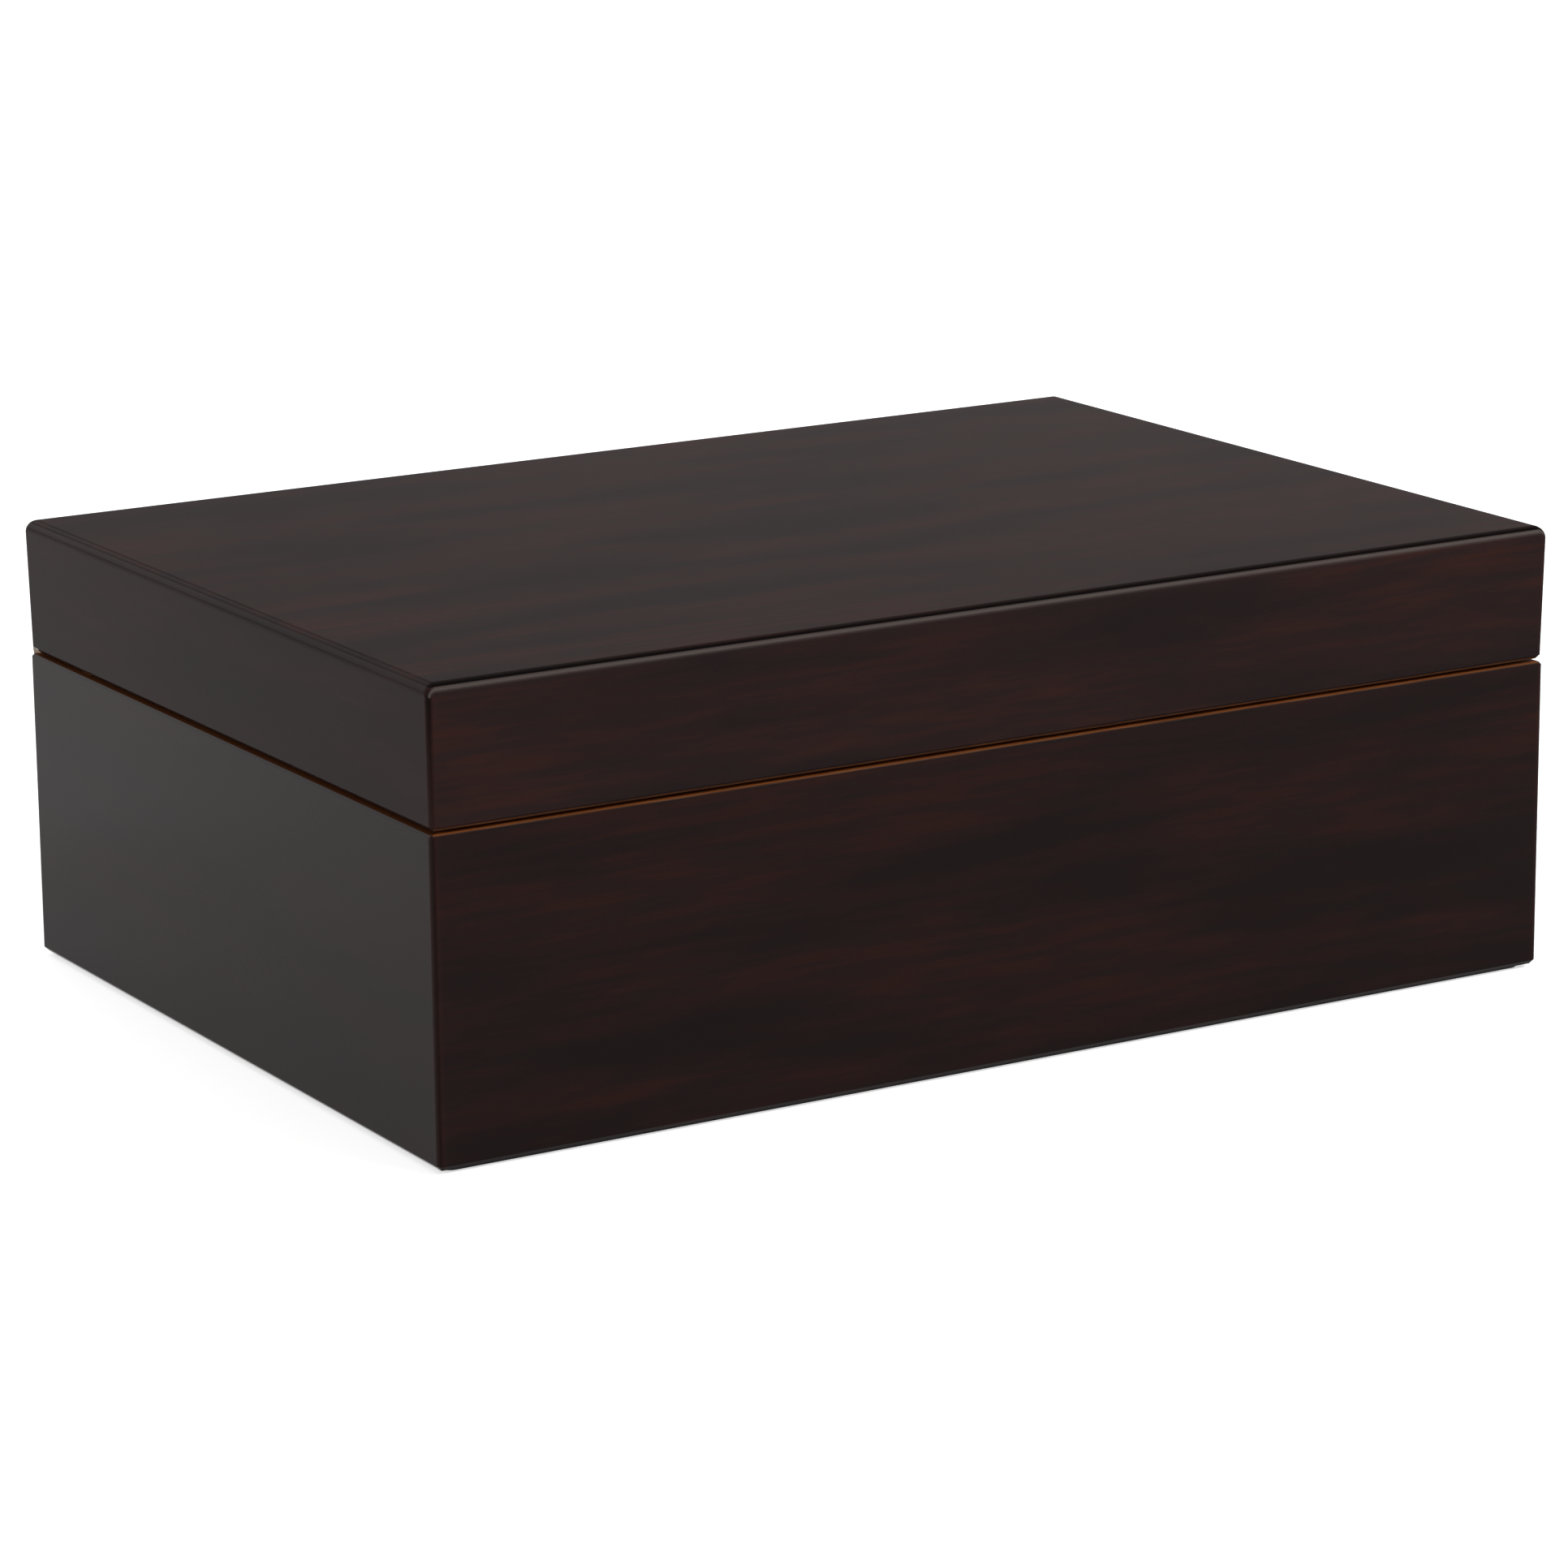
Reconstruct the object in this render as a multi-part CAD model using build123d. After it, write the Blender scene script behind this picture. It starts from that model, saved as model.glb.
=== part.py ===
from build123d import *

import os
from math import asin, atan, cos, degrees, pi, radians, sin

os.makedirs("parts", exist_ok=True)

# Sizes in millimetres. X runs along the front, +Y to the back and +Z up.
# The origin is the middle of the face that the box rests on.

# Case boards
width = 330.0  # base, side to side
depth = 230.0  # base, front to back
base_height = 82.5  # base boards, foot to rim
lid_height = 35.6  # lid, rim to top face
seam_gap = 0.9  # between the two rims
board = 12.0  # thickness of the base boards
lip_clearance = 0.5  # lid boards to the sealing lip
lid_lean = 0.3  # the lid's sides lean in by this much at the rim and out at the top
corner_round = 1.6  # upright corners
lid_top_round = 3.0
lid_rim_bevel = 1.1
base_rim_bevel = 0.6
base_foot_bevel = 1.2
bottom_board = 8.0
rabbet = 6.0  # how far the bottom board reaches into the side boards
felt_thickness = 1.0
felt_inset = 3.0

# Cedar lining
lining = 5.0
floor_lining = 4.0
lip_height = 8.0  # how far the lining stands above the rim of the base
lip_bevel = 1.5
lip_ease = 0.8  # inner edge of the lip
lid_sheet = 3.0  # cedar sheet under the top
lid_strip_gap = 1.5  # lip to the strips in the lid

# Lower compartment
lower_depth = 42.0  # cedar floor to the top of the tray ledges
ledge_width = 6.0
ledge_height = 8.0
ledge_end_gap = 1.0
divider = 5.0
divider_ease = 0.8  # upper edges
divider_gap = 0.5  # each end of a divider
base_divider_place = 101.8  # lining of the right end to the middle of the divider
base_divider_headroom = 2.0  # divider to the tray above it
divider_scoop_width = 36.0
divider_scoop_depth = 10.0

# Tray
tray_gap = 1.0  # tray to the lining, all round
tray_height = 27.0
tray_wall = 5.0
tray_floor = 3.5
tray_rabbet = 2.5
tray_fingers = 5  # fingers of each corner joint
tray_scoop_width = 44.0
tray_scoop_depth = 12.0
tray_slot_length = 62.0
tray_slot_width = 5.0
tray_slot_pitch = 24.0
tray_slot_row_pitch = 84.0
tray_slot_columns = 11
tray_divider_place = 82.6  # left end of the tray, inside, to the middle of its divider
tray_divider_drop = 2.0  # rim of the tray to the top of its divider

# Quadrant hinges
pivot_behind = 1.0  # pin centre behind the back face
open_angle = 95.0
leaf_thickness = 1.6
leaf_width = 7.0
leaf_reach = 40.5  # pin centre to the front end of the leaf
leaf_clearance = 0.1  # leaf to its mortise
back_leg_width = 8.0
knuckle_radius = 2.5
knuckle_length = 24.0
knuckle_end = 6.0  # each of the two knuckles on the base leaf
knuckle_gap = 0.2
pin_radius = 1.2
pin_clearance = 0.05
arm_radius = 26.0  # pin centre to the middle of the arm
arm_width = 4.5  # across the arm, towards the pin
arm_thickness = 1.6
arm_clearance = 0.2
lug_width = 4.6  # across the cross bar at each end of the arm
lug_length = 1.6
pocket_clearance = 0.6

# Hinge screws
screw_head_radius = 2.0
screw_head_height = leaf_thickness
screw_shank_radius = 1.0
screw_length = 9.0
screw_clearance = 0.05
screw_head_sides = 10  # flat sides that stand for the small round heads and shanks
screw_shank_sides = 4
screw_edge = 1.0  # head to the knuckle and to the front end of the leaf
screw_spacing = 11.0  # the two screws of the back leg
screw_inset = 4.5  # last screw to the end of the back leg

# Hygrometer, which looks down into the box
hygrometer_place = 61.1  # left end of the lid, inside, to the middle of the gauge
case_radius = 19.0
case_depth = 8.4
case_wall = 0.8
recess_clearance = 0.3
bezel_radius = 22.5
bezel_height = 2.4
bezel_slope = 1.0  # how much narrower the bezel is at its face
lens_aperture = 17.4
lens_thickness = 1.2
fit_gap = 0.1
dial_thickness = 0.4
dial_depth = 2.0  # lens to the face of the dial
shaft_radius = 0.5
shaft_clearance = 0.05
needle_length = 13.5
needle_tail = 4.5
needle_width = 1.0
needle_thickness = 0.4
needle_hub_radius = 1.7
needle_hub_height = 0.9
needle_above_dial = 0.5
scale_sweep = 270.0  # degrees from 0 to 100 percent
shown_percent = 68.0

# Humidifier, held by magnets under the lid
humidifier_gap = 29.6  # bezel of the gauge to the humidifier
humidifier_length = 140.0
humidifier_width = 46.0
humidifier_height = 11.5
humidifier_corner = 6.0
humidifier_wall = 1.6
humidifier_back = 3.0  # wall that holds the magnets
magnet_length = 20.0
magnet_width = 10.0
magnet_thickness = 2.0
magnet_spacing = 90.0
plate_overlap = 2.0  # how far the steel plates reach past the magnets
plate_thickness = 0.8
grille_thickness = 1.6
grille_slot_length = 21.0
grille_slot_width = 5.2
grille_columns = 5
grille_rows = 3
grille_pitch_x = 25.5
grille_pitch_y = 11.5
foam_gap = 0.3

# Levels, from the resting face up
z_foot = felt_thickness
z_rim = z_foot + base_height
z_lid = z_rim + seam_gap
z_top = z_lid + lid_height
z_panel = z_foot + bottom_board
z_floor = z_panel + floor_lining
z_ledge = z_floor + lower_depth
z_tray_floor = z_ledge + tray_floor
z_tray_top = z_ledge + tray_height
z_lip = z_rim + lip_height
lid_board = board - lip_clearance
z_roof = z_top - lid_board
z_sheet = z_roof - lid_sheet
z_strip = z_lip + lid_strip_gap
z_pivot = (z_rim + z_lid) / 2

# Half sizes of what is open inside
case_x = width / 2 - board
case_y = depth / 2 - board
inner_x = case_x - lining
inner_y = case_y - lining
lid_inner_x = width / 2 - lid_board
lid_inner_y = depth / 2 - lid_board
tray_x = inner_x - tray_gap
tray_y = inner_y - tray_gap
tray_inner_x = tray_x - tray_wall
tray_inner_y = tray_y - tray_wall

# Places along the box of what stands off its middle
base_divider_x = inner_x - base_divider_place
tray_divider_x = tray_divider_place - tray_inner_x
hygrometer_x = hygrometer_place - lid_inner_x
humidifier_x = hygrometer_x + bezel_radius + humidifier_gap + humidifier_length / 2

# Hinge places, given for the left hinge; the right one is its mirror image
y_pivot = depth / 2 + pivot_behind
leaf_x = -(width / 2 - board / 2)
knuckle_outer = leaf_x - leaf_width / 2
knuckle_inner = knuckle_outer + knuckle_length
arm_inner = arm_radius - arm_width / 2
arm_outer = arm_radius + arm_width / 2
leaf_underside = seam_gap / 2 + leaf_thickness
lug_angle = degrees(lug_length / arm_radius)
# The cross bars meet the undersides of both leaves when the lid is fully open.
stop_angle = degrees(asin(leaf_underside / arm_inner)) + degrees(arm_clearance / arm_inner)
arm_angle = open_angle / 2 + lug_angle + stop_angle

EXTRA = 5.0  # how far a cutting shape runs past what it cuts


def box_between(x, y, z):
    """A block between the given pairs of X, Y and Z."""
    size = [high - low for low, high in (x, y, z)]
    middle = [(high + low) / 2 for low, high in (x, y, z)]
    return Pos(*middle) * Box(*size)


def centred_block(half_x, half_y, z_low, z_high):
    """A block centred over the origin."""
    return box_between((-half_x, half_x), (-half_y, half_y), (z_low, z_high))


def across(radius, x_low, x_high, y, z):
    """A cylinder that lies along X."""
    middle = Pos((x_low + x_high) / 2, y, z)
    return middle * Rot(Y=90) * Cylinder(radius, x_high - x_low)


def loop_edges(part, z):
    """The edges of a solid that lie all along one level."""
    return part.edges().filter_by(lambda edge: all(abs(v.Z - z) < 0.001 for v in edge.vertices()))


def upright_edges(part, height):
    """The edges of a solid that climb from its foot to its top."""
    return part.edges().filter_by(
        lambda edge: abs(edge.start_point().Z - edge.end_point().Z) > height / 2
    )


def flared(prism, z_low, height, growth):
    """A prism whose sides lean out by the growth over the height, from its foot at z_low."""
    sides = prism.faces().filter_by(Axis.Z, reverse=True)
    return draft(sides, Plane.XY.offset(z_low), -degrees(atan(growth / height)))


def mitre_wedges(half_x, half_y, reach, z_low, z_high):
    """The spaces of the front and left boards, cut at 45 degrees through the corners."""
    out_x, out_y = half_x + EXTRA, half_y + EXTRA
    in_x, in_y = half_x - reach, half_y - reach
    front = [(-out_x, -out_y), (out_x, -out_y), (in_x, -in_y), (-in_x, -in_y)]
    left = [(-out_x, out_y), (-out_x, -out_y), (-in_x, -in_y), (-in_x, in_y)]
    faces = [make_face(Polyline(*points, close=True)) for points in (front, left)]
    return [extrude(Pos(0, 0, z_low) * face, z_high - z_low, dir=(0, 0, 1)) for face in faces]


def save(name, part):
    """Writes one sub-part."""
    export_step(part, f"parts/{name}.step")


def save_sides(name, front_and_left, cuts=()):
    """Writes four mitred boards: the given two and their images, each less the cuts."""
    front, left = front_and_left
    boards = {
        "front": front,
        "back": mirror(front, about=Plane.XZ),
        "left": left,
        "right": mirror(left, about=Plane.YZ),
    }
    for side, piece in boards.items():
        save(f"{name}_{side}", piece - list(cuts) if cuts else piece)


# Base boards: one rounded block, hollowed, rabbeted and cut at the mitres
def make_base_shell():
    block = centred_block(width / 2, depth / 2, z_foot, z_rim)
    block = fillet(upright_edges(block, base_height), corner_round)
    block = chamfer(loop_edges(block, z_rim), base_rim_bevel)
    block = chamfer(loop_edges(block, z_foot), base_foot_bevel)
    block -= centred_block(case_x, case_y, z_foot - EXTRA, z_rim + EXTRA)
    return block - centred_block(case_x + rabbet, case_y + rabbet, z_foot - EXTRA, z_panel)


# Lid: the sides lean, and the top meets the sides in a mitre at its round edge
def make_lid_shell():
    block = centred_block(width / 2 - lid_lean, depth / 2 - lid_lean, z_lid, z_top)
    block = flared(block, z_lid, lid_height, 2 * lid_lean)
    block = fillet(upright_edges(block, lid_height), corner_round)
    block = fillet(loop_edges(block, z_top), lid_top_round)
    block = chamfer(loop_edges(block, z_lid), lid_rim_bevel)
    return block - centred_block(lid_inner_x, lid_inner_y, z_lid - EXTRA, z_roof)


def make_top_wedge():
    block = centred_block(lid_inner_x, lid_inner_y, z_roof, z_top + EXTRA)
    return flared(block, z_roof, lid_board, lid_board)


# Hinge leaf: a leg along the side board and a leg along the back board
def leaf_outline(clearance=0.0):
    front_end = y_pivot - leaf_reach + leaf_width / 2
    side_leg = Pos(leaf_x, (front_end + y_pivot) / 2) * Rectangle(leaf_width, y_pivot - front_end)
    round_end = Pos(leaf_x, front_end) * Circle(leaf_width / 2)
    back_leg = Pos((knuckle_outer + knuckle_inner) / 2, y_pivot - back_leg_width / 2) * Rectangle(
        knuckle_length, back_leg_width
    )
    end_corner = back_leg.vertices().sort_by(Axis.Y)[:2].sort_by(Axis.X)[-1]
    back_leg = chamfer(end_corner, back_leg_width / 2)
    outline = side_leg + round_end + back_leg
    if clearance:
        outline = offset(outline, clearance, kind=Kind.INTERSECTION)
    return outline


def screw_places():
    y_back = y_pivot - knuckle_radius - screw_edge - screw_head_radius + screw_edge / 2
    y_front = y_pivot - leaf_reach + screw_edge + screw_head_radius + screw_edge
    x_end = knuckle_inner - screw_inset
    return [(x_end, y_back), (x_end - screw_spacing, y_back), (leaf_x, y_front)]


def screw_shape(clearance=0.0):
    """A countersunk screw with its head at the origin, pointing down."""
    head, shank = screw_head_radius + clearance, screw_shank_radius + clearance
    cone = Pos(0, 0, -screw_head_height) * RegularPolygon(shank, screw_head_sides)
    cone = extrude(cone, screw_head_height)
    growth = (head - shank) * cos(pi / screw_head_sides)
    rod = Pos(0, 0, -screw_length - clearance) * RegularPolygon(shank, screw_shank_sides)
    rod = extrude(rod, screw_length + clearance - screw_head_height)
    return flared(cone, -screw_head_height, screw_head_height, growth) + rod


def base_screw_set(tool):
    """Copies a shape to the three screw places of the left base leaf."""
    return [Pos(x, y, z_rim) * tool for x, y in screw_places()]


def arm_sector(x_width, angle_low, angle_high, clearance=0.0):
    """A piece of ring about the pin; angles count from the front up."""
    profile = Pos(0, -arm_radius) * Rectangle(x_width, arm_width + 2 * clearance)
    ring = revolve(profile, Axis((0, 0, 0), (-1, 0, 0)), angle_high - angle_low)
    return Pos(leaf_x, y_pivot, z_pivot) * Rot(X=-angle_low) * ring


def make_arm():
    bar = arm_sector(arm_thickness, -arm_angle, arm_angle)
    low_lug = arm_sector(lug_width, -arm_angle, -arm_angle + lug_angle)
    high_lug = arm_sector(lug_width, arm_angle - lug_angle, arm_angle)
    return bar + low_lug + high_lug


def make_leaf_blank():
    """The base leaf's plate with its arm slot; the lid's plate is its image across the seam."""
    plate = extrude(Pos(0, 0, z_rim - leaf_thickness) * leaf_outline(), leaf_thickness, dir=(0, 0, 1))
    slot_x = arm_thickness / 2 + arm_clearance
    slot_y = (y_pivot - arm_outer - 1.5 * arm_clearance, y_pivot - arm_inner + 2 * arm_clearance)
    slot = box_between(
        (leaf_x - slot_x, leaf_x + slot_x), slot_y, (z_rim - leaf_thickness - EXTRA, z_rim + EXTRA)
    )
    return plate - slot - base_screw_set(screw_shape(screw_clearance))


def flip(part):
    """The image of a shape across the middle of the seam."""
    return mirror(part, about=Plane.XY.offset(z_pivot))


def other_side(part):
    """The image of a shape on the right side."""
    return mirror(part, about=Plane.YZ)


def knuckles(part, spans, free_spans):
    """Adds knuckles over some spans of X and clears the plate from the others."""
    for low, high in spans:
        part += across(knuckle_radius, low, high, y_pivot, z_pivot)
    for low, high in free_spans:
        part -= across(knuckle_radius + knuckle_gap, low, high, y_pivot, z_pivot)
    bore = across(
        pin_radius + pin_clearance, knuckle_outer - EXTRA, knuckle_inner + EXTRA, y_pivot, z_pivot
    )
    return part - bore


def make_base_leaf():
    low, high = knuckle_outer + knuckle_end, knuckle_inner - knuckle_end
    return knuckles(make_leaf_blank(), [(knuckle_outer, low), (high, knuckle_inner)], [(low, high)])


def make_lid_leaf():
    low = knuckle_outer + knuckle_end + knuckle_gap
    high = knuckle_inner - knuckle_end - knuckle_gap
    ends = [(knuckle_outer - EXTRA, low), (high, knuckle_inner + EXTRA)]
    return knuckles(flip(make_leaf_blank()), [(low, high)], ends)


def make_base_mortise():
    """What the left hinge takes out of the base boards."""
    sink = extrude(
        Pos(0, 0, z_rim - leaf_thickness) * leaf_outline(leaf_clearance),
        leaf_thickness + EXTRA,
        dir=(0, 0, 1),
    )
    notch = across(
        knuckle_radius + knuckle_gap,
        knuckle_outer - knuckle_gap,
        knuckle_inner + knuckle_gap,
        y_pivot,
        z_pivot,
    )
    pocket_x = lug_width / 2 + pocket_clearance / 2
    pocket = box_between(
        (leaf_x - pocket_x, leaf_x + pocket_x),
        (
            y_pivot - arm_outer - pocket_clearance,
            y_pivot - arm_inner * cos(radians(arm_angle)) + pocket_clearance,
        ),
        (z_pivot - arm_outer * sin(radians(arm_angle)) - pocket_clearance, z_rim),
    )
    return [sink, notch, pocket, *base_screw_set(screw_shape(screw_clearance))]


def make_pin():
    return across(pin_radius, knuckle_outer, knuckle_inner, y_pivot, z_pivot)


base_cuts = make_base_mortise()
base_cuts += [other_side(cut) for cut in base_cuts]
lid_cuts = [flip(cut) for cut in base_cuts]

base_shell = make_base_shell()
lid_shell = make_lid_shell()
top_wedge = make_top_wedge()
base_wedges = mitre_wedges(width / 2, depth / 2, board + rabbet, z_foot - EXTRA, z_rim + EXTRA)
lid_wedges = mitre_wedges(width / 2, depth / 2, 2 * board, z_lid - EXTRA, z_top + EXTRA)
save_sides("base", [base_shell & wedge for wedge in base_wedges], base_cuts)
save_sides("lid", [(lid_shell & wedge) - top_wedge for wedge in lid_wedges], lid_cuts)

hygrometer_recess = Pos(hygrometer_x, 0, (z_sheet + case_depth + z_sheet - EXTRA) / 2) * Cylinder(
    case_radius + recess_clearance, case_depth + EXTRA + 2 * recess_clearance
)
save("lid_top", (lid_shell & top_wedge) - hygrometer_recess)
save("base_bottom", centred_block(case_x + rabbet, case_y + rabbet, z_foot, z_panel))
save("felt_pad", centred_block(width / 2 - felt_inset, depth / 2 - felt_inset, 0, z_foot))

left_arm = make_arm()
left_pin = make_pin()
save("hinge_arm_left", left_arm)
save("hinge_arm_right", other_side(left_arm))
save("hinge_pin_left", left_pin)
save("hinge_pin_right", other_side(left_pin))
for owner, leaf in (("base", make_base_leaf()), ("lid", make_lid_leaf())):
    save(f"hinge_{owner}_leaf_left", leaf)
    save(f"hinge_{owner}_leaf_right", other_side(leaf))
base_screws = base_screw_set(screw_shape())
base_screws += [other_side(screw) for screw in base_screws]
save("hinge_base_screws", Compound(children=base_screws))
save("hinge_lid_screws", Compound(children=[flip(screw) for screw in base_screws]))


# Cedar lining of the base: a mitred ring whose top is the sealing lip
def make_lining_ring():
    ring = centred_block(case_x, case_y, z_panel, z_lip)
    ring = chamfer(loop_edges(ring, z_lip), lip_bevel)
    ring -= centred_block(inner_x, inner_y, z_panel - EXTRA, z_lip + EXTRA)
    inner_loop = loop_edges(ring, z_lip).filter_by(
        lambda edge: all(abs(v.X) < inner_x + 0.001 and abs(v.Y) < inner_y + 0.001 for v in edge.vertices())
    )
    return chamfer(inner_loop, lip_ease)


# Cedar strips of the lid, which stop above the lip
def make_lid_ring():
    ring = centred_block(lid_inner_x, lid_inner_y, z_strip, z_sheet)
    return ring - centred_block(
        lid_inner_x - lining, lid_inner_y - lining, z_strip - EXTRA, z_sheet + EXTRA
    )


lining_ring = make_lining_ring()
lid_ring = make_lid_ring()
ring_wedges = mitre_wedges(case_x, case_y, 2 * lining, z_panel - EXTRA, z_lip + EXTRA)
strip_wedges = mitre_wedges(lid_inner_x, lid_inner_y, 2 * lining, z_strip - EXTRA, z_sheet + EXTRA)
save_sides("lining", [lining_ring & wedge for wedge in ring_wedges])
save_sides("lid_lining", [lid_ring & wedge for wedge in strip_wedges])
save("lining_bottom", centred_block(inner_x, inner_y, z_panel, z_floor))
save(
    "lid_lining_top",
    centred_block(lid_inner_x, lid_inner_y, z_sheet, z_roof) - hygrometer_recess,
)


# Tray ledges, rounded along the edge that hands meet
def make_ledge():
    ledge = box_between(
        (-inner_x, -inner_x + ledge_width),
        (-inner_y + ledge_end_gap, inner_y - ledge_end_gap),
        (z_ledge - ledge_height, z_ledge),
    )
    edge = ledge.edges().filter_by(Axis.Y).group_by(Axis.X)[-1].sort_by(Axis.Z)[0]
    return fillet(edge, ledge_width / 3)


left_ledge = make_ledge()
save("tray_ledge_left", left_ledge)
save("tray_ledge_right", other_side(left_ledge))


def scoop(scoop_width, scoop_depth, x_low, x_high, z):
    """A finger scoop cut down from level z, right through along X."""
    outline = Plane.YZ * SlotOverall(scoop_width, 2 * scoop_depth)
    return extrude(Pos(x_low, 0, z) * outline, x_high - x_low, dir=(1, 0, 0))


def make_divider(x, half_y, z_low, z_high):
    """An upright cedar board across the box, with its upper edges eased."""
    plate = box_between((x - divider / 2, x + divider / 2), (-half_y, half_y), (z_low, z_high))
    top_edges = plate.edges().filter_by(Axis.Y).group_by(Axis.Z)[-1]
    return chamfer(top_edges, divider_ease)


base_divider_top = z_ledge - base_divider_headroom
base_divider_plate = make_divider(
    base_divider_x, inner_y - divider_gap, z_floor, base_divider_top
)
save(
    "base_divider",
    base_divider_plate
    - scoop(
        divider_scoop_width,
        divider_scoop_depth,
        base_divider_x - divider,
        base_divider_x + divider,
        base_divider_top,
    ),
)
save(
    "tray_divider",
    make_divider(
        tray_divider_x,
        tray_inner_y - divider_gap,
        z_tray_floor,
        z_tray_top - tray_divider_drop,
    ),
)


# Tray: four boards with finger joints and a slotted floor in a rabbet
def finger_blocks(levels):
    """The corner blocks of the given finger levels."""
    step = tray_height / tray_fingers
    blocks = []
    for level in levels:
        z = (z_ledge + level * step, z_ledge + (level + 1) * step)
        for x in ((-tray_x, -tray_inner_x), (tray_inner_x, tray_x)):
            for y in ((-tray_y, -tray_inner_y), (tray_inner_y, tray_y)):
                blocks.append(box_between(x, y, z))
    return blocks


def make_tray():
    floor_panel = centred_block(
        tray_inner_x + tray_rabbet, tray_inner_y + tray_rabbet, z_ledge, z_tray_floor
    )
    even, odd = finger_blocks(range(0, tray_fingers, 2)), finger_blocks(range(1, tray_fingers, 2))
    long_board = box_between((-tray_x, tray_x), (-tray_y, -tray_inner_y), (z_ledge, z_tray_top))
    short_board = box_between((-tray_x, -tray_inner_x), (-tray_y, tray_y), (z_ledge, z_tray_top))
    hand_hole = scoop(
        tray_scoop_width, tray_scoop_depth, -tray_x - EXTRA, -tray_inner_x + EXTRA, z_tray_top
    )
    long_board = long_board - odd - floor_panel
    short_board = short_board - even - floor_panel - hand_hole
    slots = GridLocations(tray_slot_pitch, tray_slot_row_pitch, tray_slot_columns, 2)
    slot = Box(tray_slot_width, tray_slot_length, tray_height)
    cuts = [Pos(0, 0, z_ledge) * place * slot for place in slots]
    return long_board, short_board, floor_panel - cuts


tray_front, tray_left, tray_bottom = make_tray()
save("tray_front", tray_front)
save("tray_back", mirror(tray_front, about=Plane.XZ))
save("tray_left", tray_left)
save("tray_right", other_side(tray_left))
save("tray_bottom", tray_bottom)

# Hygrometer: levels climb from the bezel's face into the lid
z_bezel = z_sheet - bezel_height
z_case = z_sheet + lens_thickness
z_dial = z_case + dial_depth
z_case_end = z_sheet + case_depth


def disc(radius, z_low, z_high):
    """A round plate on the gauge's axis."""
    return Pos(hygrometer_x, 0, (z_low + z_high) / 2) * Cylinder(radius, z_high - z_low)


# The bezel is a ring with a sloping side; it holds the lens against the case.
hygrometer_bezel = Pos(hygrometer_x, 0, (z_bezel + z_sheet) / 2) * Cone(
    bezel_radius - bezel_slope, bezel_radius, bezel_height
) - disc(lens_aperture, z_bezel - EXTRA, z_sheet + EXTRA)
hygrometer_case = disc(case_radius, z_case, z_case_end) - disc(
    case_radius - case_wall, z_case - EXTRA, z_case_end - case_wall
)
z_needle = z_dial - needle_above_dial
needle_angle = -90 + (shown_percent - 50) / 100 * scale_sweep


def make_needle():
    """A tapered needle with a round hub and tail; it turns on the shaft."""
    blade = Polygon(
        (-needle_tail, needle_width),
        (-needle_tail, -needle_width),
        (needle_length, -needle_width / 6),
        (needle_length, needle_width / 6),
    )
    needle = extrude(Pos(0, 0, z_needle - needle_thickness) * blade, needle_thickness)
    needle += Pos(0, 0, z_needle - needle_hub_height / 2) * Cylinder(
        needle_hub_radius, needle_hub_height
    )
    needle -= Pos(0, 0, z_needle) * Cylinder(shaft_radius + shaft_clearance, EXTRA)
    return Pos(hygrometer_x, 0, 0) * Rot(Z=needle_angle) * needle


save("hygrometer_bezel", hygrometer_bezel)
save("hygrometer_case", hygrometer_case)
save("hygrometer_lens", disc(case_radius, z_sheet, z_case))
dial_radius = case_radius - case_wall - fit_gap
save("hygrometer_dial", disc(dial_radius, z_dial, z_dial + dial_thickness))
save("hygrometer_shaft", disc(shaft_radius, z_needle - needle_hub_height, z_dial))
save("hygrometer_needle", make_needle())

# Humidifier: levels fall from the sheet down to the grille
z_plate = z_sheet - plate_thickness
z_grille = z_plate - humidifier_height


def rounded_block(inset, z_low, z_high):
    """A block inside the humidifier's outline, drawn in by inset."""
    outline = RectangleRounded(
        humidifier_length - 2 * inset, humidifier_width - 2 * inset, humidifier_corner - inset
    )
    return extrude(Pos(humidifier_x, 0, z_low) * outline, z_high - z_low)


def magnet_pair(margin, z_low, z_high):
    """Two blocks, one over each magnet, that reach past it by the margin."""
    block = Box(magnet_length + 2 * margin, magnet_width + 2 * margin, z_high - z_low)
    middle = Pos(humidifier_x, 0, (z_low + z_high) / 2)
    return [middle * Pos(side * magnet_spacing / 2) * block for side in (-1, 1)]


def make_humidifier_case():
    case = rounded_block(0, z_grille, z_plate)
    case -= rounded_block(humidifier_wall, z_grille - EXTRA, z_plate - humidifier_back)
    return case - magnet_pair(fit_gap, z_plate - magnet_thickness, z_plate + EXTRA)


def make_grille():
    plate = rounded_block(humidifier_wall + fit_gap, z_grille, z_grille + grille_thickness)
    slot = Box(grille_slot_length, grille_slot_width, 2 * EXTRA)
    places = GridLocations(grille_pitch_x, grille_pitch_y, grille_columns, grille_rows)
    return plate - [Pos(humidifier_x, 0, z_grille) * place * slot for place in places]


def make_foam():
    """The foam block, with its upright corners cut off to clear the round corners of the case."""
    inset = humidifier_wall + foam_gap
    half_x, half_y = humidifier_length / 2 - inset, humidifier_width / 2 - inset
    z_low = z_grille + grille_thickness + foam_gap
    z_high = z_plate - humidifier_back - foam_gap
    block = Pos(humidifier_x) * centred_block(half_x, half_y, z_low, z_high)
    return chamfer(block.edges().filter_by(Axis.Z), humidifier_corner - inset)


save("humidifier_case", make_humidifier_case())
save("humidifier_grille", make_grille())
save("humidifier_foam", make_foam())
magnets = magnet_pair(0, z_plate - magnet_thickness, z_plate)
save("humidifier_magnets", Compound(children=magnets))
save("humidifier_plates", Compound(children=magnet_pair(plate_overlap, z_plate, z_sheet)))
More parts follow.
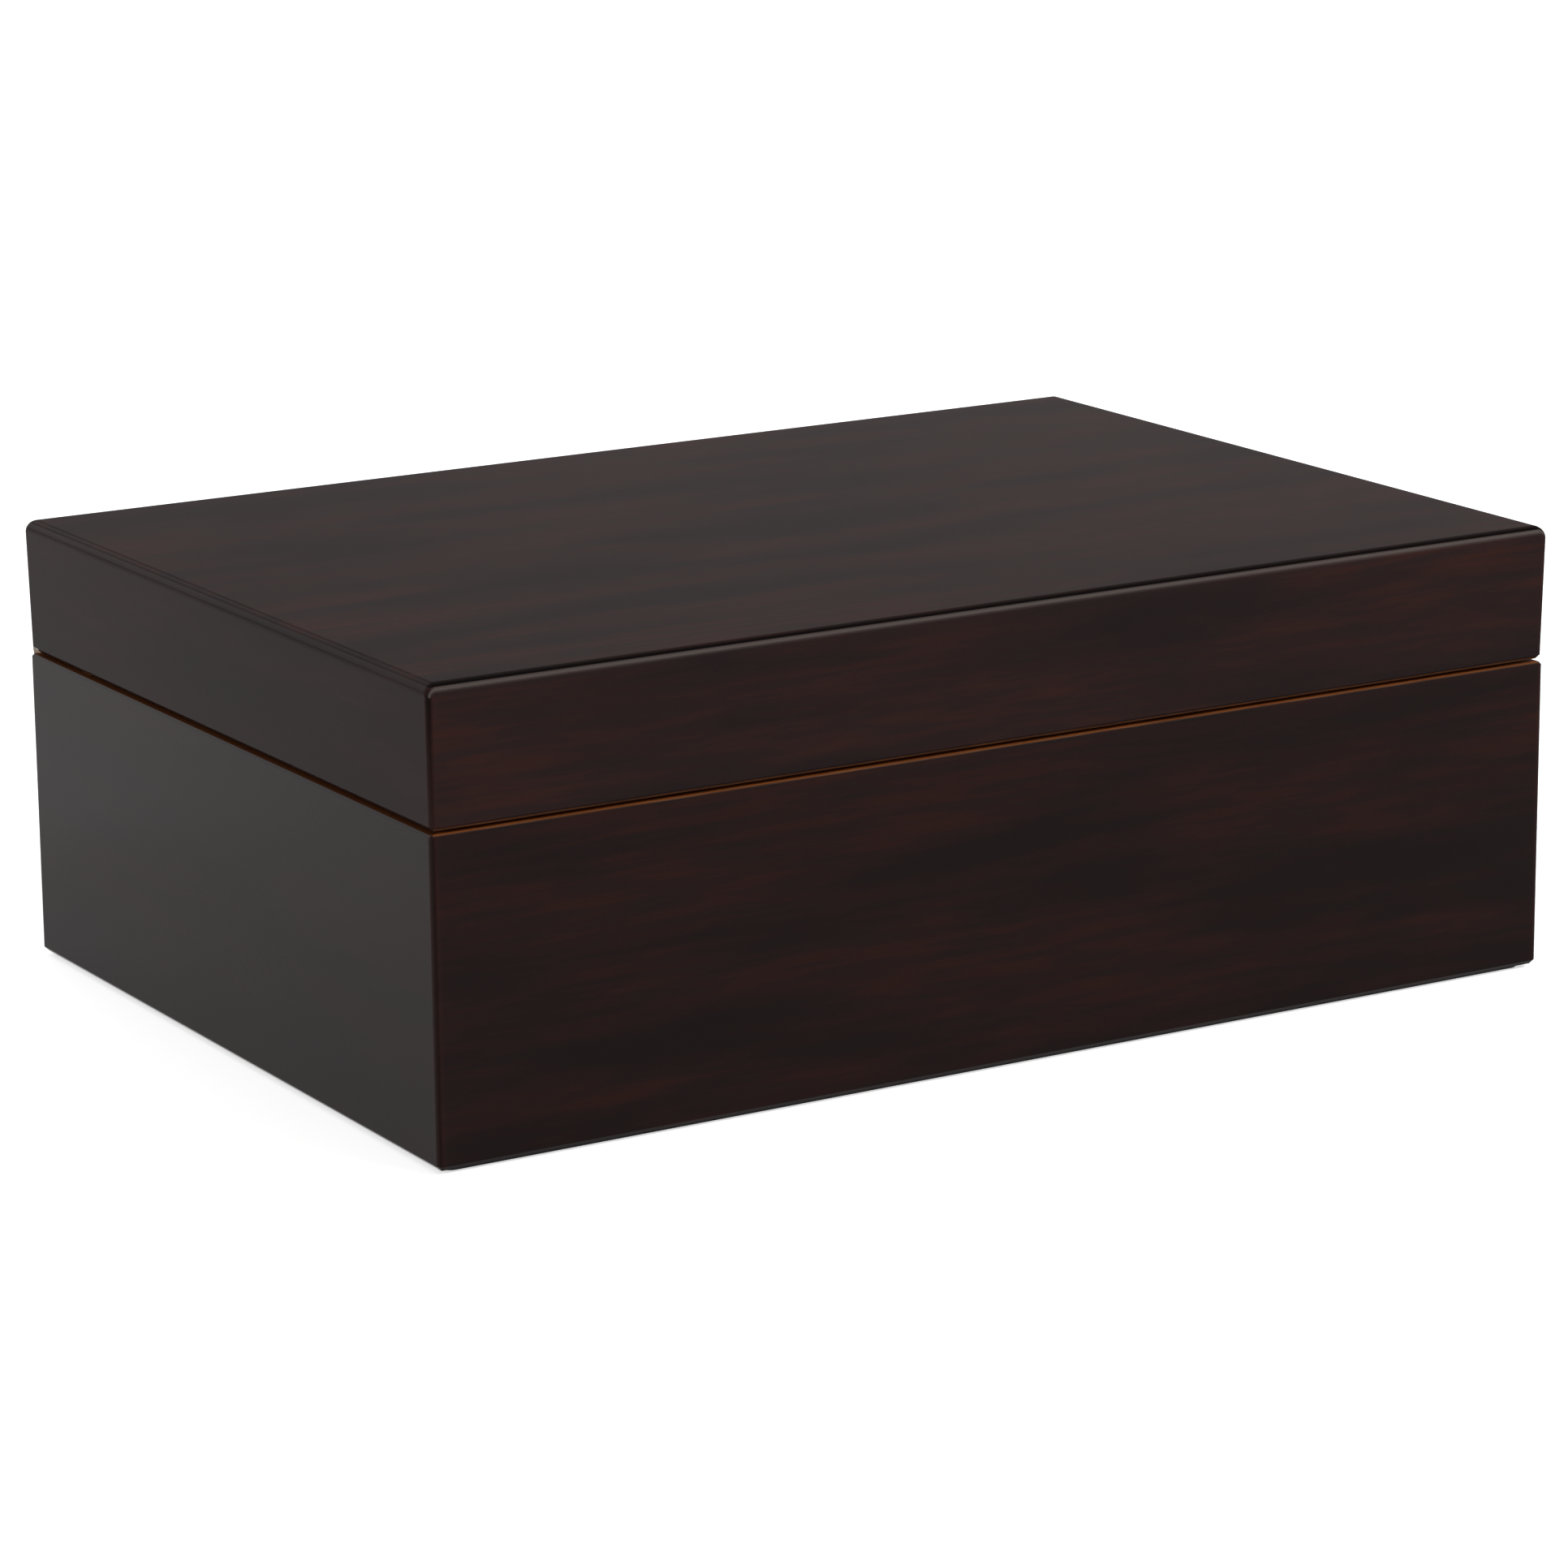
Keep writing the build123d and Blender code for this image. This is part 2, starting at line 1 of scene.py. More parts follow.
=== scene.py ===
"""The looks of a desktop humidor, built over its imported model.

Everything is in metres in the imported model's frame: +X along the front, +Y to the
hinged back and +Z up, with the origin in the middle of the face that the box rests on.
"""

import logging
from collections.abc import Iterable, Mapping, Sequence
from dataclasses import dataclass
from enum import Enum
from functools import cache, cached_property
from math import cos, pi, radians, sin

import bmesh
import bpy
from mathutils import Matrix, Vector

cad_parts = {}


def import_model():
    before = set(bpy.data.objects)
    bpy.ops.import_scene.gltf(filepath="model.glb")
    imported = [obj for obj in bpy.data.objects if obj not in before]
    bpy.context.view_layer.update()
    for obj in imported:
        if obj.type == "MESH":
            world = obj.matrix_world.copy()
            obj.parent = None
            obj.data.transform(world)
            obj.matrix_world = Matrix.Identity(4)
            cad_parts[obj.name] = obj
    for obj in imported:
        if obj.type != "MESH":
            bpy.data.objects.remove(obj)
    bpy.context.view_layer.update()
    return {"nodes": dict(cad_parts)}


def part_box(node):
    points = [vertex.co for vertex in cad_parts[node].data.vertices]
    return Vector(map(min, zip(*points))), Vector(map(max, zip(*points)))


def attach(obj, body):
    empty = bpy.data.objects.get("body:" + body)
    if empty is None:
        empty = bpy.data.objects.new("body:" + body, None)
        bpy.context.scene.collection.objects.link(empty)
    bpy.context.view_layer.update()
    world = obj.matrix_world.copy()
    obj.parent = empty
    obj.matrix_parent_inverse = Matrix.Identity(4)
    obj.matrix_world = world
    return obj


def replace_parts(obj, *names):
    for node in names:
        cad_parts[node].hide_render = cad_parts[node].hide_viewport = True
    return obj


LOG = logging.getLogger("humidor")
Socket = bpy.types.NodeSocket
Feed = Socket | float | int | bool | tuple[float, ...]
Feeds = dict[str | int, Feed]
Colour = tuple[float, float, float, float]
Place = tuple[float, float, float]
STEEL: Colour = (0.6, 0.6, 0.61, 1)
STEEL_STAIN: Colour = (0.42, 0.41, 0.4, 1)


class Graph:
    """Adds nodes to one tree and wires them."""

    def __init__(self, tree: bpy.types.NodeTree) -> None:
        """Keeps the tree that the nodes go into."""
        self.tree = tree

    def add(self, kind: str, feeds: Feeds | None = None, **settings: object) -> bpy.types.Node:
        """Adds a node.

        Args:
            kind: The node's type.
            feeds: What goes into its inputs, by name or number.
            settings: The node's own settings.

        Returns:
            The new node.
        """
        node = self.tree.nodes.new(kind)
        for name, value in settings.items():
            setattr(node, name, value)
        for key, value in (feeds or {}).items():
            self.feed(node.inputs[key], value)
        return node

    def feed(self, socket: Socket, value: Feed) -> None:
        """Links an output to an input, or sets the input's own value.

        Args:
            socket: The input.
            value: An output to link, or a value.
        """
        if isinstance(value, bpy.types.NodeSocket):
            self.tree.links.new(value, socket)
        else:
            socket.default_value = value

    def open_sockets(self, way: str, kind: str, labels: Iterable[str]) -> None:
        """Gives the tree named inputs or outputs.

        Args:
            way: INPUT or OUTPUT.
            kind: What they carry.
            labels: Their names.
        """
        for label in labels:
            self.tree.interface.new_socket(label, in_out=way, socket_type=f"NodeSocket{kind}")

    def math(self, operation: str, *numbers: Feed) -> Socket:
        """One step of arithmetic on numbers.

        Args:
            operation: The Math node's operation.
            numbers: What it works on.

        Returns:
            The result.
        """
        return self.add("ShaderNodeMath", dict(enumerate(numbers)), operation=operation).outputs[0]

    def times(self, first: Feed, second: Feed) -> Socket:
        """The product of two numbers."""
        return self.math("MULTIPLY", first, second)

    def unsigned(self, value: Feed) -> Socket:
        """A number without its sign."""
        return self.math("ABSOLUTE", value)

    def vector(self, operation: str, *vectors: Feed) -> Socket:
        """One step of arithmetic on vectors.

        Args:
            operation: The Vector Math node's operation.
            vectors: What it works on.

        Returns:
            The resulting vector.
        """
        feeds = dict(enumerate(vectors))
        return self.add("ShaderNodeVectorMath", feeds, operation=operation).outputs[0]

    def join(self, x: Feed = 0.0, y: Feed = 0.0, z: Feed = 0.0) -> Socket:
        """The vector of three numbers."""
        return self.add("ShaderNodeCombineXYZ", {0: x, 1: y, 2: z}).outputs[0]

    def parts(self, vector: Feed) -> Sequence[Socket]:
        """The three numbers of a vector."""
        return self.add("ShaderNodeSeparateXYZ", {0: vector}).outputs

    def mix(self, share: Feed, first: Feed, second: Feed) -> Socket:
        """Mixes two colours.

        Args:
            share: How much of the second colour, from 0 to 1.
            first: The first colour.
            second: The second colour.

        Returns:
            The mixed colour.
        """
        feeds = {0: share, 6: first, 7: second}
        return self.add("ShaderNodeMix", feeds, data_type="RGBA").outputs[2]

    def ramp(self, value: Feed, low: float, high: float, start: float = 0.0, end: float = 1.0) -> Socket:
        """Moves a number smoothly from one span to another.

        Args:
            value: The number.
            low: Where the first span begins.
            high: Where the first span ends.
            start: Where the second span begins.
            end: Where the second span ends.

        Returns:
            The moved number.
        """
        feeds = {0: value, 1: low, 2: high, 3: start, 4: end}
        return self.add("ShaderNodeMapRange", feeds, interpolation_type="SMOOTHSTEP").outputs[0]

    def noise(self, place: Feed, detail: float, roughness: float = 0.5, distortion: float = 0.0) -> Socket:
        """Cloudy noise one unit across.

        Args:
            place: Where it is read.
            detail: How many finer layers it has.
            roughness: How strong the finer layers are.
            distortion: How much it is stirred.

        Returns:
            A number near a half.
        """
        feeds = dict(Vector=place, Scale=1.0, Detail=detail, Roughness=roughness, Distortion=distortion)
        return self.add("ShaderNodeTexNoise", feeds).outputs[0]


def fresh_tree(holder: bpy.types.Material | bpy.types.World) -> bpy.types.NodeTree:
    """Turns on the nodes of a material or a world and empties them.

    Args:
        holder: The material or world.

    Returns:
        Its empty tree.
    """
    holder.use_nodes = True
    holder.node_tree.nodes.clear()
    return holder.node_tree


def scaled(colour: Colour, share: float) -> Colour:
    """A colour made darker or lighter."""
    return (*(part * share for part in colour[:3]), 1.0)


def placed(name: str, data: bpy.types.ID) -> bpy.types.Object:
    """Puts a new object into the scene.

    Args:
        name: Its name.
        data: Its mesh, camera, lamp or text.

    Returns:
        The object.
    """
    made = bpy.data.objects.new(name, data)
    bpy.context.collection.objects.link(made)
    return made


def mesh_taken_from(holder: bpy.types.Object) -> bpy.types.Mesh:
    """Turns an object, with what its modifiers make of it, into a plain mesh.

    Args:
        holder: The object, which is then deleted.

    Returns:
        The mesh.
    """
    evaluated = holder.evaluated_get(bpy.context.evaluated_depsgraph_get())
    mesh = bpy.data.meshes.new_from_object(evaluated)
    bpy.data.objects.remove(holder)
    return mesh


def mesh_of(name: str, shape: bmesh.types.BMesh) -> bpy.types.Mesh:
    """Turns an edited shape into a mesh.

    Args:
        name: The mesh's name.
        shape: The shape, which is then freed.

    Returns:
        The mesh.
    """
    mesh = bpy.data.meshes.new(name)
    shape.to_mesh(mesh)
    shape.free()
    return mesh


class Effect(Graph):
    """A surface effect that finishes share: a shader node group that is built once."""

    name: str
    vectors: tuple[str, ...] = ("Place",)
    numbers: tuple[str, ...]

    def __init__(self) -> None:
        """Builds the group."""
        super().__init__(bpy.data.node_groups.new(self.name, "ShaderNodeTree"))
        self.open_sockets("INPUT", "Vector", self.vectors)
        self.open_sockets("INPUT", "Float", self.numbers)
        self.given = self.add("NodeGroupInput").outputs
        results = self.results()
        self.open_sockets("OUTPUT", "Float", results)
        self.add("NodeGroupOutput", results)

    def results(self) -> Feeds:
        """Adds the effect's nodes; each effect has its own.

        Returns:
            What the group puts out, by name.
        """
        raise NotImplementedError


class WoodGrain(Effect):
    """Wood grain that runs along X."""

    name = "wood grain"
    numbers = ("Length", "Width")
    line_stretch: Place = (1.6, 9.0, 9.0)
    pore_stretch: Place = (11.0, 42.0, 42.0)

    def results(self) -> Feeds:
        """Adds the figure, the lines and the pores.

        Returns:
            What the group puts out, by name.
        """
        along, athwart = (self.math("DIVIDE", 1.0, self.given[name]) for name in self.numbers)
        place = self.vector("MULTIPLY", self.given["Place"], self.join(along, athwart, athwart))
        figure = self.noise(place, 3.0, 0.55, 0.15)
        lines = self.noise(self.vector("MULTIPLY", place, self.line_stretch), 4.0, 0.6, 0.1)
        pores = self.noise(self.vector("MULTIPLY", place, self.pore_stretch), 1.0)
        return {
            "Figure": self.ramp(figure, 0.32, 0.68),
            "Line": self.ramp(lines, 0.35, 0.65),
            "Pore": self.ramp(pores, 0.62, 0.72),
        }


class Arris(Effect):
    """A mask of a block's edges, where two of its faces are near."""

    name = "arris"
    vectors = ("Place", "Half size")
    numbers = ("Width",)

    def results(self) -> Feeds:
        """Adds the mask.

        Returns:
            What the group puts out, by name.
        """
        reach = self.vector("ABSOLUTE", self.given["Place"])
        inward = self.parts(self.vector("SUBTRACT", self.given["Half size"], reach))
        near = [self.ramp(self.unsigned(part), 0.0, self.given["Width"], 1.0, 0.0) for part in inward]
        pairs = [self.times(near[i], near[i - 1]) for i in range(3)]
        return {"Edge": self.math("MAXIMUM", self.math("MAXIMUM", pairs[0], pairs[1]), pairs[2])}


class Brushing(Effect):
    """Fine brush marks that run along X, and faint stains."""

    name = "brushing"
    numbers = ("Fineness",)
    slow_share: float = 0.03
    stain_scale: Place = (160.0, 160.0, 160.0)

    def results(self) -> Feeds:
        """Adds the marks and the stains.

        Returns:
            What the group puts out, by name.
        """
        place, fine = self.given["Place"], self.given["Fineness"]
        stretch = self.join(self.times(fine, self.slow_share), fine, fine)
        marks = self.noise(self.vector("MULTIPLY", place, stretch), 3.0, 0.7)
        stains = self.noise(self.vector("MULTIPLY", place, self.stain_scale), 4.0)
        return {"Mark": self.ramp(marks, 0.3, 0.7), "Stain": self.ramp(stains, 0.48, 0.75)}


class Speckle(Effect):
    """Specks of a given size in broader clouds."""

    name = "speckle"
    numbers = ("Size",)
    cloud_scale: Place = (0.06, 0.06, 0.06)

    def results(self) -> Feeds:
        """Adds the specks and the clouds.

        Returns:
            What the group puts out, by name.
        """
        fine = self.math("DIVIDE", 1.0, self.given["Size"])
        place = self.vector("MULTIPLY", self.given["Place"], self.join(fine, fine, fine))
        specks = self.noise(place, 2.0, 0.6)
        clouds = self.noise(self.vector("MULTIPLY", place, self.cloud_scale), 3.0)
        return {"Speck": self.ramp(specks, 0.35, 0.65), "Cloud": self.ramp(clouds, 0.35, 0.65)}


@cache
def group_tree(effect: type[Effect]) -> bpy.types.NodeTree:
    """The tree of an effect's one group."""
    return effect().tree


class Grain(Enum):
    """Which way a board's grain runs, as the turn that brings it to X."""

    ALONG_X = (0.0, 0.0, 0.0)
    ALONG_Y = (0.0, 0.0, -pi / 2)
    ALONG_Z = (0.0, pi / 2, 0.0)


@dataclass(frozen=True)
class Finish(Graph):
    """A finish, which is the graph of its own material."""

    name: str

    @cached_property
    def blank(self) -> bpy.types.Material:
        """The finish's material before it has its nodes."""
        return bpy.data.materials.new(self.name)

    @cached_property
    def tree(self) -> bpy.types.NodeTree:
        """The tree that the finish's nodes go into."""
        return fresh_tree(self.blank)

    @cached_property
    def material(self) -> bpy.types.Material:
        """The finish's material, built when it is first asked for.

        Returns:
            The material.
        """
        shader = self.add("ShaderNodeBsdfPrincipled", self.feeds()).outputs[0]
        self.add("ShaderNodeOutputMaterial", {"Surface": shader})
        return self.blank

    @cached_property
    def here(self) -> Mapping[str, Socket]:
        """Where each point is and which way it faces."""
        return self.add("ShaderNodeTexCoord").outputs

    @cached_property
    def spot(self) -> Sequence[Socket]:
        """Where each point is along X, Y and Z."""
        return self.parts(self.here["Object"])

    @cached_property
    def facing(self) -> Sequence[Socket]:
        """How far each point faces along X, Y and Z."""
        return self.parts(self.here["Normal"])

    def feeds(self) -> Feeds:
        """Adds the finish's nodes; each finish has its own.

        Returns:
            The shader's inputs.
        """
        raise NotImplementedError

    def effect(self, effect: type[Effect], place: Socket, **numbers: Feed) -> Mapping[str, Socket]:
        """Puts a shared effect into the material.

        Args:
            effect: Which effect.
            place: Where it is read.
            numbers: The values of its other inputs, with _ for a space.

        Returns:
            Its outputs, by name.
        """
        feeds = {"Place": place, **{name.replace("_", " "): value for name, value in numbers.items()}}
        return self.add("ShaderNodeGroup", feeds, node_tree=group_tree(effect)).outputs

    def turned(self, grain: Grain, shift: Place = (0.0, 0.0, 0.0)) -> Socket:
        """The place on the piece, turned so that the grain runs along X.

        Args:
            grain: Which way the grain runs.
            shift: Moves the pattern, so that boards differ.

        Returns:
            The turned place.
        """
        feeds = {"Vector": self.here["Object"], "Rotation": grain.value, "Location": shift}
        return self.add("ShaderNodeMapping", feeds).outputs[0]

    def relief(self, height: Feed, depth: float, strength: float = 1.0) -> Socket:
        """Fine relief.

        Args:
            height: How high each point is, from 0 to 1.
            depth: What a height of 1 means, in metres.
            strength: How much of it shows.

        Returns:
            The normal.
        """
        return self.add("ShaderNodeBump", dict(Height=height, Distance=depth, Strength=strength)).outputs[0]


@dataclass(frozen=True)
class Lacquer(Finish):
    """Dark satin lacquer over mahogany veneer, with raw wood at the seam and inside, painted shade along its
    edges and in the seam, and a painted highlight on one rounded edge.
    """

    grain: Grain = Grain.ALONG_X
    shift: Place = (0.0, 0.0, 0.0)
    tone: float = 1.0
    warmth: float = 0.5
    ior: float = 1.13
    worn: float = 0.0
    worn_reach: float = 0.0007
    # Painted highlight: a pale band drawn on the front board's half of a rounded top edge, where a lamp would
    # shine on it; None draws none.
    edge_light: Colour | None = None
    # Painted shade: how dark the rounded edges that face X and Y turn, as a band where they turn from the
    # top.
    edge_shade: tuple[float, float] = (0.0, 0.0)
    raw: Colour = (0.14, 0.058, 0.024, 1)
    rim: Colour = (0.27, 0.085, 0.024, 1)
    # Darker raw wood, for the grain's lines and for the painted shade deep in the seam's gap.
    raw_dark: Colour = (0.06, 0.019, 0.007, 1)
    dark: Colour = (0.0165, 0.0115, 0.0113, 1)
    brown: Colour = (0.0215, 0.0136, 0.0128, 1)
    red: Colour = (0.0370, 0.0145, 0.0118, 1)
    # The near-black of the painted shade lines.
    shade_line: Colour = (0.0045, 0.0034, 0.0034, 1)
    broad_grain: tuple[float, float] = (0.11, 0.018)
    fine_grain: tuple[float, float] = (0.032, 0.0026)
    line_share: float = 0.3
    roughness: tuple[float, float] = (0.18, 0.22)
    raw_roughness: float = 0.4
    # Upright corners, as width and share: a reddish wear line, then a narrower line of painted shade right at
    # the corner.
    corner_lines: tuple[tuple[float, float], ...] = ((0.0026, 0.55), (0.0015, 1.0))
    half_size: Place = (0.165, 0.115, 2.0)
    inside: tuple[float, float] = (0.1538, 0.1038)
    under_top: float = 0.109
    seam: float = 0.08395
    rim_reach: float = 0.004
    rim_fade: tuple[float, float] = (0.003, 0.005)
    level: float = 0.85
    raw_line_share: float = 0.6
    deep_share: float = 0.8

    def feeds(self) -> Feeds:
        """Adds the lacquer's nodes.

        Returns:
            The shader's inputs.
        """
        turned = self.turned(self.grain, self.shift)
        broad, fine = (
            self.effect(WoodGrain, turned, Length=length, Width=width)
            for length, width in (self.broad_grain, self.fine_grain)
        )
        dark, brown, red = (scaled(colour, self.tone) for colour in (self.dark, self.brown, self.red))
        body = self.mix(broad["Figure"], dark, brown)
        redness = self.times(fine["Figure"], broad["Figure"])
        body = self.mix(self.times(redness, self.warmth), body, red)
        body = self.mix(self.times(fine["Line"], self.line_share), body, dark)
        bare = self._bare(fine["Line"])
        gloss = self.ramp(fine["Line"], 0.0, 1.0, *self.roughness)
        raw_wood = self._raw_wood(fine["Line"])
        return {
            "Base Color": self.mix(bare, self._edged(body), raw_wood),
            "Roughness": self.math("MULTIPLY_ADD", bare, self.raw_roughness, gloss),
            "IOR": self.ior,
            "Normal": self.relief(fine["Line"], depth=0.000004, strength=0.3),
        }

    def _edged(self, body: Socket) -> Socket:
        """Draws a reddish wear line and a line of painted shade on the upright corners, a band of painted
        shade along rounded top edges, and a painted highlight on the front board's half of a rounded top
        edge.

        Args:
            body: The lacquer's colour.

        Returns:
            The colour with its edges.
        """
        # A reddish wear line, then painted shade right on the upright corner.
        for (width, share), colour in zip(self.corner_lines, (self.red, self.shade_line)):
            mask = self.effect(Arris, self.here["Object"], Half_size=self.half_size, Width=width)
            body = self.mix(self.times(mask["Edge"], share), body, colour)
        # Painted shade: darkens the top board's half of each rounded edge, half as dark where it has barely
        # left the flat top.
        for part, share in zip(self.facing, self.edge_shade):
            lean = self.unsigned(part)
            near = self.times(self.ramp(lean, 0.0, 0.12), 0.5)
            deep = self.math("MAXIMUM", near, self.ramp(lean, 0.2, 0.5))
            body = self.mix(self.times(deep, share), body, self.shade_line)
        if self.edge_light is None:
            return body
        # Painted highlight: a pale band where the rounded top edge turns from up towards the front or back.
        steep = self.unsigned(self.facing[1])
        lit = self.times(self.ramp(steep, 0.66, 0.8), self.ramp(steep, 0.82, 0.985, 1.0, 0.0))
        upward = self.math("GREATER_THAN", self.facing[2], 0.02)
        return self.mix(self.times(lit, upward), body, self.edge_light)

    def _raw_wood(self, line: Socket) -> Socket:
        """Colours the raw wood with darker grain lines, and with painted shade that darkens it away from the
        case's outer face, deep in the seam's gap and on the inner faces.

        Args:
            line: The fine lines of the grain.

        Returns:
            The colour.
        """
        sizes = zip(self.half_size[:2], self.spot)
        depths = [self.math("SUBTRACT", half, self.unsigned(part)) for half, part in sizes]
        # Painted shade: darker raw wood deeper than a few millimetres from the outer face.
        deep = self.ramp(self.math("MINIMUM", *depths), *self.rim_fade)
        share = self.math("MAXIMUM", self.times(line, self.raw_line_share), self.times(deep, self.deep_share))
        return self.mix(share, self.mix(self._level(), self.raw, self.rim), self.raw_dark)

    def _level(self) -> Socket:
        """A mask, 1 where a face is level."""
        return self.math("GREATER_THAN", self.unsigned(self.facing[2]), self.level)

    def _bare(self, line: Socket) -> Socket:
        """Masks the wood without lacquer: both rims at the seam, and the inner faces.

        Args:
            line: The fine lines of the grain, along which the bevels are worn.

        Returns:
            A mask, 1 on raw wood.
        """
        flatness = self.unsigned(self.facing[2])
        height = self.unsigned(self.math("SUBTRACT", self.spot[2], self.seam))
        rim = self.times(self._level(), self.math("LESS_THAN", height, self.rim_reach))
        close = self.ramp(height, 0.6 * self.worn_reach, self.worn_reach, 1.0, 0.0)
        sloping = self.times(self.ramp(flatness, 0.2, 0.5), close)
        wear = self.ramp(line, 0.0, 1.0, self.worn, 0.6 * self.worn)
        rim = self.math("MAXIMUM", rim, self.times(sloping, wear))
        inner = self.math("LESS_THAN", self.spot[2], self.under_top)
        for part, half in zip(self.spot, self.inside):
            inner = self.times(inner, self.math("LESS_THAN", self.unsigned(part), half))
        return self.math("MAXIMUM", rim, inner)


@dataclass(frozen=True)
class Cedar(Finish):
    """Raw planed cedar."""

    grain: Grain = Grain.ALONG_X
    shift: Place = (0.0, 0.0, 0.0)
    light: Colour = (0.56, 0.27, 0.115, 1)
    warm: Colour = (0.42, 0.165, 0.062, 1)
    line: Colour = (0.27, 0.09, 0.032, 1)
    marks: tuple[tuple[str, float], ...] = (("Line", 0.45), ("Pore", 0.6))

    def feeds(self) -> Feeds:
        """Adds the cedar's nodes.

        Returns:
            The shader's inputs.
        """
        turned = self.turned(self.grain, self.shift)
        grain = self.effect(WoodGrain, turned, Length=0.12, Width=0.009)
        body = self.mix(grain["Figure"], self.light, self.warm)
        for mark, share in self.marks:
            body = self.mix(self.times(grain[mark], share), body, self.line)
        return {
            "Base Color": body,
            "Roughness": self.ramp(grain["Line"], 0.0, 1.0, 0.62, 0.78),
            "IOR": 1.4,
            "Normal": self.relief(grain["Line"], depth=0.00003, strength=0.6),
        }


@dataclass(frozen=True)
class Metal(Finish):
    """Brushed metal with faint stains, and dull where it was sawn across X."""

    grain: Grain = Grain.ALONG_X
    clean: Colour = (0.78, 0.52, 0.2, 1)
    stained: Colour = (0.55, 0.33, 0.11, 1)
    fineness: float = 5200.0
    smooth: float = 0.22
    rough: float = 0.36
    stain_share: float = 0.5
    sawn: Colour | None = None
    sawn_facing: float = 0.9

    def feeds(self) -> Feeds:
        """Adds the metal's nodes.

        Returns:
            The shader's inputs.
        """
        brush = self.effect(Brushing, self.turned(self.grain), Fineness=self.fineness)
        colour = self.mix(self.times(brush["Stain"], self.stain_share), self.clean, self.stained)
        if self.sawn:
            across = self.math("GREATER_THAN", self.unsigned(self.facing[0]), self.sawn_facing)
            colour = self.mix(across, colour, self.sawn)
        return {
            "Base Color": colour,
            "Roughness": self.ramp(brush["Mark"], 0.0, 1.0, self.smooth, self.rough),
            "Metallic": 1.0,
            "Normal": self.relief(brush["Mark"], depth=0.000006, strength=0.5),
        }


@dataclass(frozen=True)
class Speckled(Finish):
    """A plain material with fine specks: plastic, felt, foam, paint or print."""

    base: Colour = (0.02, 0.02, 0.02, 1)
    speck: Colour = (0.03, 0.03, 0.03, 1)
    size: float = 0.0004
    depth: float = 0.00001
    roughness: float = 0.5
    ior: float = 1.45
    sheen: float = 0.0
    cloud_share: float = 0.3
    speck_share: float = 0.75
    speck_roughness: float = 0.12

    def feeds(self) -> Feeds:
        """Adds the material's nodes.

        Returns:
            The shader's inputs.
        """
        marks = self.effect(Speckle, self.here["Object"], Size=self.size)
        share = self.math("MULTIPLY_ADD", marks["Cloud"], self.cloud_share, marks["Speck"])
        return {
            "Base Color": self.mix(self.times(share, self.speck_share), self.base, self.speck),
            "Roughness": self.math("MULTIPLY_ADD", marks["Speck"], self.speck_roughness, self.roughness),
            "IOR": self.ior,
            "Sheen Weight": self.sheen,
            "Normal": self.relief(marks["Speck"], self.depth),
        }


@dataclass(frozen=True)
class Glass(Finish):
    """Clear glass with the faintest wipe marks."""

    tint: Colour = (0.97, 0.985, 0.98, 1)

    def feeds(self) -> Feeds:
        """Adds the glass's nodes.

        Returns:
            The shader's inputs.
        """
        marks = self.effect(Brushing, self.here["Object"], Fineness=900.0)
        return {
            "Base Color": self.tint,
            "Roughness": self.ramp(marks["Stain"], 0.0, 1.0, 0.01, 0.04),
            "Transmission Weight": 1.0,
            "IOR": 1.45,
        }


@dataclass
class Maker:
    """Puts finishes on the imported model's nodes, and makes new pieces."""

    nodes: dict[str, bpy.types.Object]

    def dress(self, finish: Finish, *names: str) -> None:
        """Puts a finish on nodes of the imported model.

        Args:
            finish: The finish.
            names: The nodes' names.
        """
        for name in names:
            for slot in self.nodes[name].material_slots:
                slot.material = finish.material

    def piece(
        self, name: str, mesh: bpy.types.Mesh, body: str, slot: str, finish: Finish | None = None
    ) -> bpy.types.Object:
        """Makes a piece from a mesh whose place is in its points.

        Args:
            name: The piece's name.
            mesh: Its mesh.
            body: The body that it moves with.
            slot: Not used.
            finish: Its finish, where the mesh has no material yet.

        Returns:
            The piece.
        """
        made = placed(name, mesh)
        if finish is not None:
            mesh.materials.append(finish.material)
        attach(made, body)
        return made


